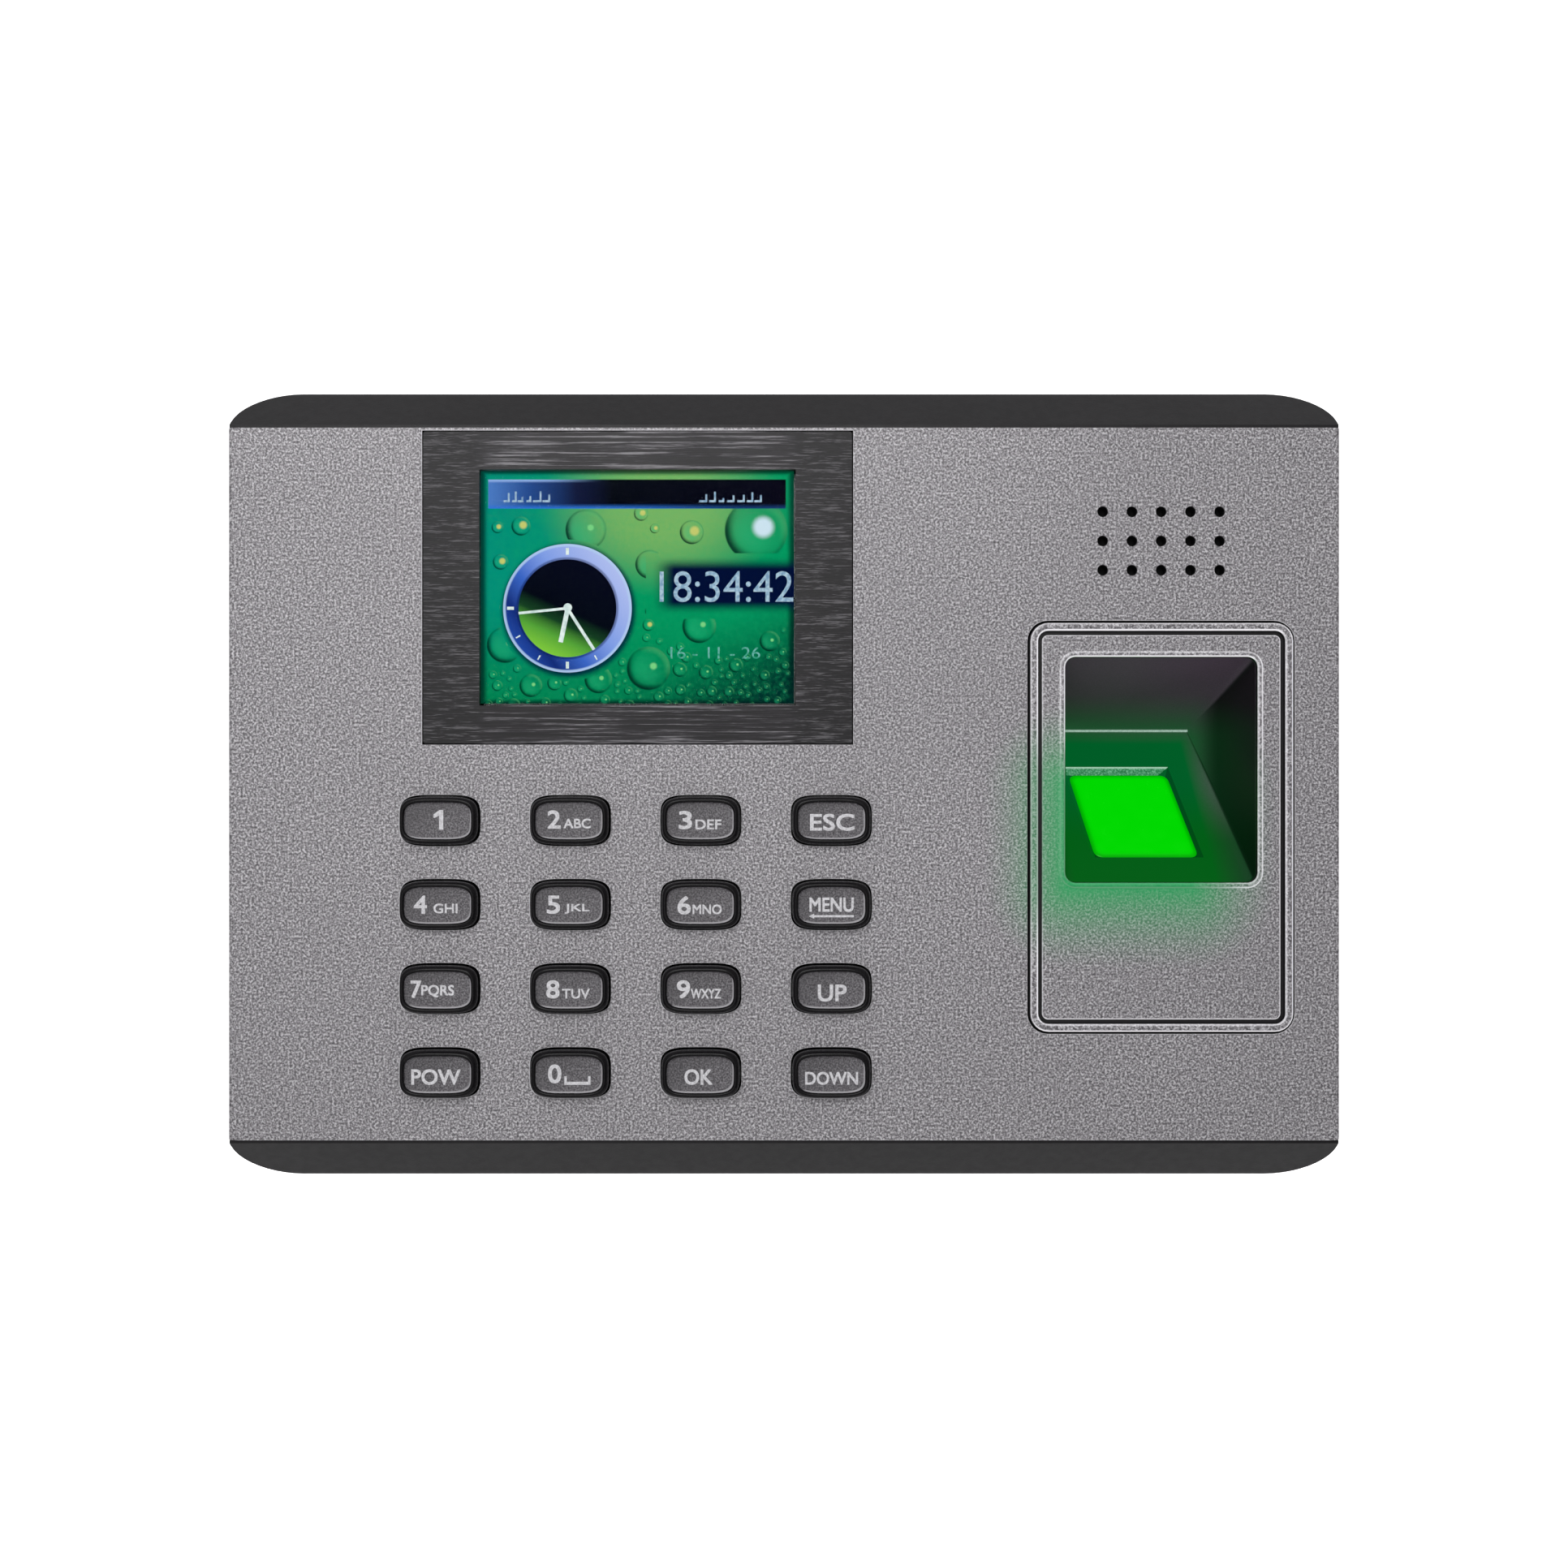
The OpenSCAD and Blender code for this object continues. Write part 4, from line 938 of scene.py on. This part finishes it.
def clock_materials():
    """Shadow, ring, face and hands of the picture's clock."""
    shadow = lit("clock_shadow")
    dark = shadow.times(shadow.spread(disc_uv(shadow)[1], 1, 0.9), 0.9)
    shadow.finish(emission=shadow.mix(dark, wallpaper(shadow), srgb(0, 30, 60)))
    ring = lit("clock_ring")
    place, length = disc_uv(ring)
    tone = ring.spread(slant(ring, place, (0.8, 0.6)), -1, 1, smooth=False)
    ring.finish(emission=ring.coats(
        ring.ramp(tone, (0, srgb(36, 74, 168)), (0.16, srgb(20, 44, 120)), (0.36, srgb(58, 100, 196)),
                  (0.6, srgb(128, 156, 230)), (1, srgb(178, 190, 240))),
        (ring.times(ring.spread(length, 0.945, 0.975), 0.85), srgb(178, 204, 240)),
        (ring.times(ring.spread(length, 0.81, 0.775), 0.6), srgb(12, 26, 84))))
    dial = lit("clock_face")
    tone = dial.spread(slant(dial, disc_uv(dial)[0], (-0.42, -0.9)), -1, 1, smooth=False)
    dial.finish(emission=dial.ramp(
        tone, (0, srgb(6, 8, 26)), (0.52, srgb(4, 8, 20)), (0.66, srgb(22, 62, 34)),
        (0.8, srgb(84, 160, 56)), (1, srgb(130, 202, 62))))
    hands = hazy("clock_hands", 0.8, 2, 0.3, 0.7, srgb(196, 216, 214), srgb(232, 242, 240))
    return shadow.material, ring.material, dial.material, hands


def screen_point(u, v, layer):
    """Place on the picture: u and v are mm from its left and top edges, layer is steps off the panel."""
    return (SCREEN.x + PICTURE_SCALE * (u - HALF_PICTURE[0]) * MM, SCREEN.y - LAYER_STEP * layer,
            SCREEN.z + PICTURE_SCALE * (HALF_PICTURE[1] - v) * MM)


def screen_piece(name, points, faces, material, uvs=None):
    """A flat piece of the picture."""
    piece = flat_piece(name, points, faces, material, uvs)
    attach(piece, TERMINAL)


def screen_box(name, left, top, right, bottom, layer, material):
    """A rectangle of the picture, in mm from its top left corner."""
    corners = ((left, top), (right, top), (right, bottom), (left, bottom))
    screen_piece(name, [screen_point(u, v, layer) for u, v in corners], [[0, 1, 2, 3]], material)


def discs(name, spots, layer, material, steps=48):
    """Round pieces of the picture, each given as (u, v, radius) in mm."""
    points = [screen_point(u + radius * c, v - radius * s, layer)
              for u, v, radius in spots for c, s in circle(steps)]
    faces = [list(range(steps * i, steps * i + steps)) for i in range(len(spots))]
    uvs = [(0.5 + 0.5 * c, 0.5 + 0.5 * s) for c, s in circle(steps)] * len(spots)
    screen_piece(name, points, faces, material, uvs)


def ring_piece(name, u, v, inner, outer, layer, material, steps=96):
    """A ring of the picture, with its middle and radii in mm."""
    points, faces, uvs = [], [], []
    for i, (c, s) in enumerate(circle(steps)):
        for radius in (inner, outer):
            points.append(screen_point(u + radius * c, v - radius * s, layer))
            uvs.append((0.5 + 0.5 * c * radius / outer, 0.5 + 0.5 * s * radius / outer))
        j = 2 * ((i + 1) % steps)
        faces.append([2 * i, 2 * i + 1, j + 1, j])
    screen_piece(name, points, faces, material, uvs)


def strokes(name, lines, layer, material):
    """Straight strokes of the picture, each given as (u0, v0, u1, v1, width) in mm."""
    points = []
    for u0, v0, u1, v1, width in lines:
        start, end = Vector((u0, v0)), Vector((u1, v1))
        side = (end - start).orthogonal().normalized() * width / 2
        for corner in (start + side, end + side, end - side, start - side):
            points.append(screen_point(*corner, layer))
    faces = [list(range(4 * i, 4 * i + 4)) for i in range(len(lines))]
    screen_piece(name, points, faces, material)


def screen_text(name, text, u, v, width, height, layer, material):
    """Generic figures on the picture, centred on u, v."""
    flat, faces = text_outline(text, width, height)
    screen_piece(name, [screen_point(u + a, v - b, layer) for a, b in flat], faces, material)


def scatter_drops(rng, taken, wanted=85):
    """Small drops, thickest along the foot of the picture and clear of what is already there."""
    small = []
    while len(small) < wanted:
        u, v = rng.uniform(1.5, 50), 38.2 - abs(rng.gauss(0, 7))
        radius = rng.choice((0.45, 0.55, 0.7, 0.9, 1.2))
        near = [math.hypot(u - a, v - b) < radius + c + 0.05 for a, b, c in taken + small]
        if v > 7 and not any(near):
            small.append((u, v, radius))
    return small


def header_marks(rng):
    """Plain strokes in place of the header's words: a foot and an upright for each."""
    marks = []
    for u, end in ((4, 11.4), (35.6, 46.4)):
        while u < end - 0.6:
            width, height = rng.uniform(0.5, 1.3), rng.uniform(0.5, 1.7)
            marks.append((u, 5.2, u + width, 5.2, 0.34))
            marks.append((u + width, 5.35, u + width, 5.2 - height, 0.3))
            u += width + rng.uniform(0.25, 0.7)
    return marks


def clock_tick(hour):
    """A stroke across the clock's ring, longer and wider at each quarter."""
    turn = math.radians(30 * hour)
    length, width = (1.1, 0.5) if hour % 3 == 0 else (0.8, 0.22)
    inner, outer = [(CLOCK[0] + reach * math.sin(turn), CLOCK[1] - reach * math.cos(turn))
                    for reach in (CLOCK_RING - length / 2, CLOCK_RING + length / 2)]
    return (*inner, *outer, width)


def make_picture():
    """The lit picture: drops of water on green, a bar, a clock, and the time in plain figures."""
    ground = lit("screen_wallpaper")
    screen_box("screen_wallpaper", -1.1, -1.1, 52.3, 39.3, 1, ground.finish(emission=wallpaper(ground)))
    rng = random.Random(11)
    taken = [(*CLOCK, 11.4), (40, 19, 11), (25, 4, 5), (9, 4, 5), (41, 4, 5), (44.8, 9.9, 5.4)]
    main = [(17.3, 9.8, 3.4), (35.6, 25.4, 2.8), (27.4, 32.2, 3.6), (19.3, 34, 2.3), (4.2, 28.4, 3),
            (27.6, 15.4, 2.4), (8.4, 35, 1.9), (47, 27.8, 1.7), (12.2, 34.6, 1.2)]
    lime = [(34.4, 10.2, 2), (6.8, 9.2, 1.6), (3, 9.4, 1), (3.5, 15, 1.3), (27.4, 25.2, 1),
            (26.2, 7.2, 1.2), (28.4, 9.6, 0.8)]
    small = scatter_drops(rng, taken + main + lime)
    discs("screen_drops", main + small, 3, droplet_material("screen_drop", 0.2, srgb(120, 206, 130)))
    discs("screen_drops_lime", lime, 3, droplet_material("screen_drop_lime", 0.5, srgb(196, 200, 110)))
    discs("screen_drop_big", [(44.8, 9.9, 5.2)], 3,
          droplet_material("screen_drop_big", 0.42, srgb(206, 226, 240), 0.7), 96)
    screen_box("screen_header", 1.5, 1.7, 49.6, 6.4, 5, header_material())
    ink = hazy("screen_ink", 0.6, 3, 0.3, 0.7, srgb(120, 154, 186), srgb(178, 202, 218))
    faint = hazy("screen_ink_faint", 0.6, 3, 0.35, 0.65, srgb(44, 150, 120), srgb(110, 178, 172))
    strokes("screen_marks", header_marks(rng), 6, ink)
    screen_box("screen_band", 27, 13.6, 52.2, 24.2, 4, band_material())
    screen_text("screen_time", "18:34:42", 40, 19, 21.6, 5, 6, ink)
    screen_text("screen_date", "16 - 11 - 26", 38.2, 29.7, 14.5, 1.9, 6, faint)
    shadow, ring, dial, hand = clock_materials()
    ring_piece("clock_shadow", 14.5, 22.8, 9, 11.4, 4, shadow)
    ring_piece("clock_ring", *CLOCK, 7.9, 10.4, 6, ring)
    discs("clock_face", [(*CLOCK, 8)], 5, dial, 96)
    strokes("clock_ticks", [clock_tick(hour) for hour in (5, 6, 7, 8, 9, 0)], 7, hand)
    strokes("clock_hands", [(*CLOCK, 6.4, 23.3, 0.42), (14.4, 22.3, 13.2, 28, 0.75),
                            (14.1, 22.2, 18.6, 29.2, 0.5)], 8, hand)
    discs("clock_hub", [(14.35, 22.4, 0.7)], 9, hand, 32)
    # a black mask round the window, which also stands in for the shade at the picture's edges
    edge = [(-1.2, -1.2), (52.4, -1.2), (52.4, 39.4), (-1.2, 39.4), (0.1, 0.1), (50.9, 0.1), (50.9, 37.9),
            (0.1, 37.9)]
    screen_piece("window_mask", [screen_point(u, v, 11) for u, v in edge],
                 [[i, (i + 1) % 4, 4 + (i + 1) % 4, 4 + i] for i in range(4)], MATERIALS["black_optics"])


# Rings of the window's lit face, from its rim inwards: inset, corner radius, height, share of the light
PANE_RINGS = [(0.05, 1.3, 0, 0), (-0.28, 1.5, 0.3, 0), (-0.12, 1.4, 0.42, 0.1), (0.5, 1.1, 0.44, 0.75),
              (1.4, 0.8, 0.44, 1)]


def window_corners():
    """The corners of the window's glass, clockwise from its upper left one, its normal and its slope up."""
    glass = NODES["sensor_prism"].data
    front = min(glass.polygons, key=lambda face: face.normal.y - face.normal.z)
    normal = front.normal.normalized()
    up = normal.cross(Vector((1, 0, 0))).normalized()
    up = up if up.z > 0 else -up
    flat = [glass.vertices[i].co for face in glass.polygons if face.normal.dot(normal) > 0.999
            for i in face.vertices]
    middle = sum(flat, Vector()) / len(flat)
    head = max((p - middle).dot(up) for p in flat)
    top = [p for p in flat if (p - middle).dot(up) > head - 0.01 * MM]
    foot = [p for p in flat if (p - middle).dot(up) < -head + 0.3 * MM]
    return [min(top, key=lambda p: p.x), max(top, key=lambda p: p.x),
            max(foot, key=lambda p: p.x), min(foot, key=lambda p: p.x)], normal, up


def round_corner(corners, i, inset, radius, steps=9):
    """Points of a rounded corner of a slanted four-sided outline, moved in by inset."""
    corner, before, after = corners[i], corners[i - 1], corners[(i + 1) % 4]
    a, b = (before - corner).normalized(), (after - corner).normalized()
    inner = corner + (a + b) * inset
    start, end = inner + a * radius, inner + b * radius
    shares = [k / (steps - 1) for k in range(steps)]
    return [(1 - t) ** 2 * start + 2 * t * (1 - t) * inner + t ** 2 * end for t in shares]


def make_sensor_window():
    """The lit face of the window, round at its corners, and the chamfer above it, both laid on the slope."""
    corners, normal, up = window_corners()
    points, uvs = [], []
    for inset, radius, rise, share in PANE_RINGS:
        lift = normal * (0.04 + rise) * MM
        ring = [p + lift for i in range(4) for p in round_corner(corners, i, inset * MM, radius * MM)]
        points += ring
        uvs += [(share, 0)] * len(ring)
    count = len(ring)
    last = len(points) - count
    faces = [[k + i, k + (i + 1) % count, k + count + (i + 1) % count, k + count + i]
             for k in range(0, last, count) for i in range(count)]
    faces.append(list(range(last, last + count)))
    pane = flat_piece("sensor_pane", points, faces, lit_pane(), uvs)
    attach(pane, TERMINAL)
    right = Vector((1, 0, 0)) * MM
    rise = up * 1.6 * MM + normal * 0.45 * MM
    lift = up * 0.3 * MM + normal * 0.35 * MM
    strip = [corners[0] + lift - 0.6 * right, corners[1] + lift - 1.2 * right,
             corners[1] + lift + rise + 0.8 * right, corners[0] + lift + rise - 0.6 * right]
    bevel = flat_piece("sensor_bevel", strip, [[0, 1, 2, 3]], lit_bevel(), [(0, 0), (0, 0), (0, 1), (0, 1)])
    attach(bevel, TERMINAL)


# ---- build

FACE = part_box("front_cover")[0].y
SPEAKER = (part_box("speaker_gasket")[0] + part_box("speaker_gasket")[1]) / 2
SCREEN = (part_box("display_window")[0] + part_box("display_window")[1]) / 2
SCREEN += Vector((-0.27, 0, 0.36)) * MM
SCREEN.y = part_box("lcd_panel")[0].y
TERMINAL = NODES["front_cover"]["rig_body"]
make_camera()
MATERIALS = make_materials()
KEY_TOP = key_top()
LEGEND = legend_paint()
make_stage()
for node_name, cad in NODES.items():
    wear(cad, MATERIALS[SLOTS[node_name]])
refined("front_cover", 0.42 * MM, 4)
refined("rear_housing", 0.35 * MM, cut_up=True)
refined("display_bezel", 0.2 * MM, cut_up=True)
refined("sensor_well", 0.3 * MM)
refined("wall_plate", 0.2 * MM, 2)
refined("usb_shell", 0.12 * MM, 2)
refined("power_jack", 0.2 * MM, 2, cut_up=True)
make_surround()
make_speaker_cloth()
for key_node in KEY_LEGENDS:
    key_legend(key_node, *key_mesh(key_node))
make_picture()
make_sensor_window()
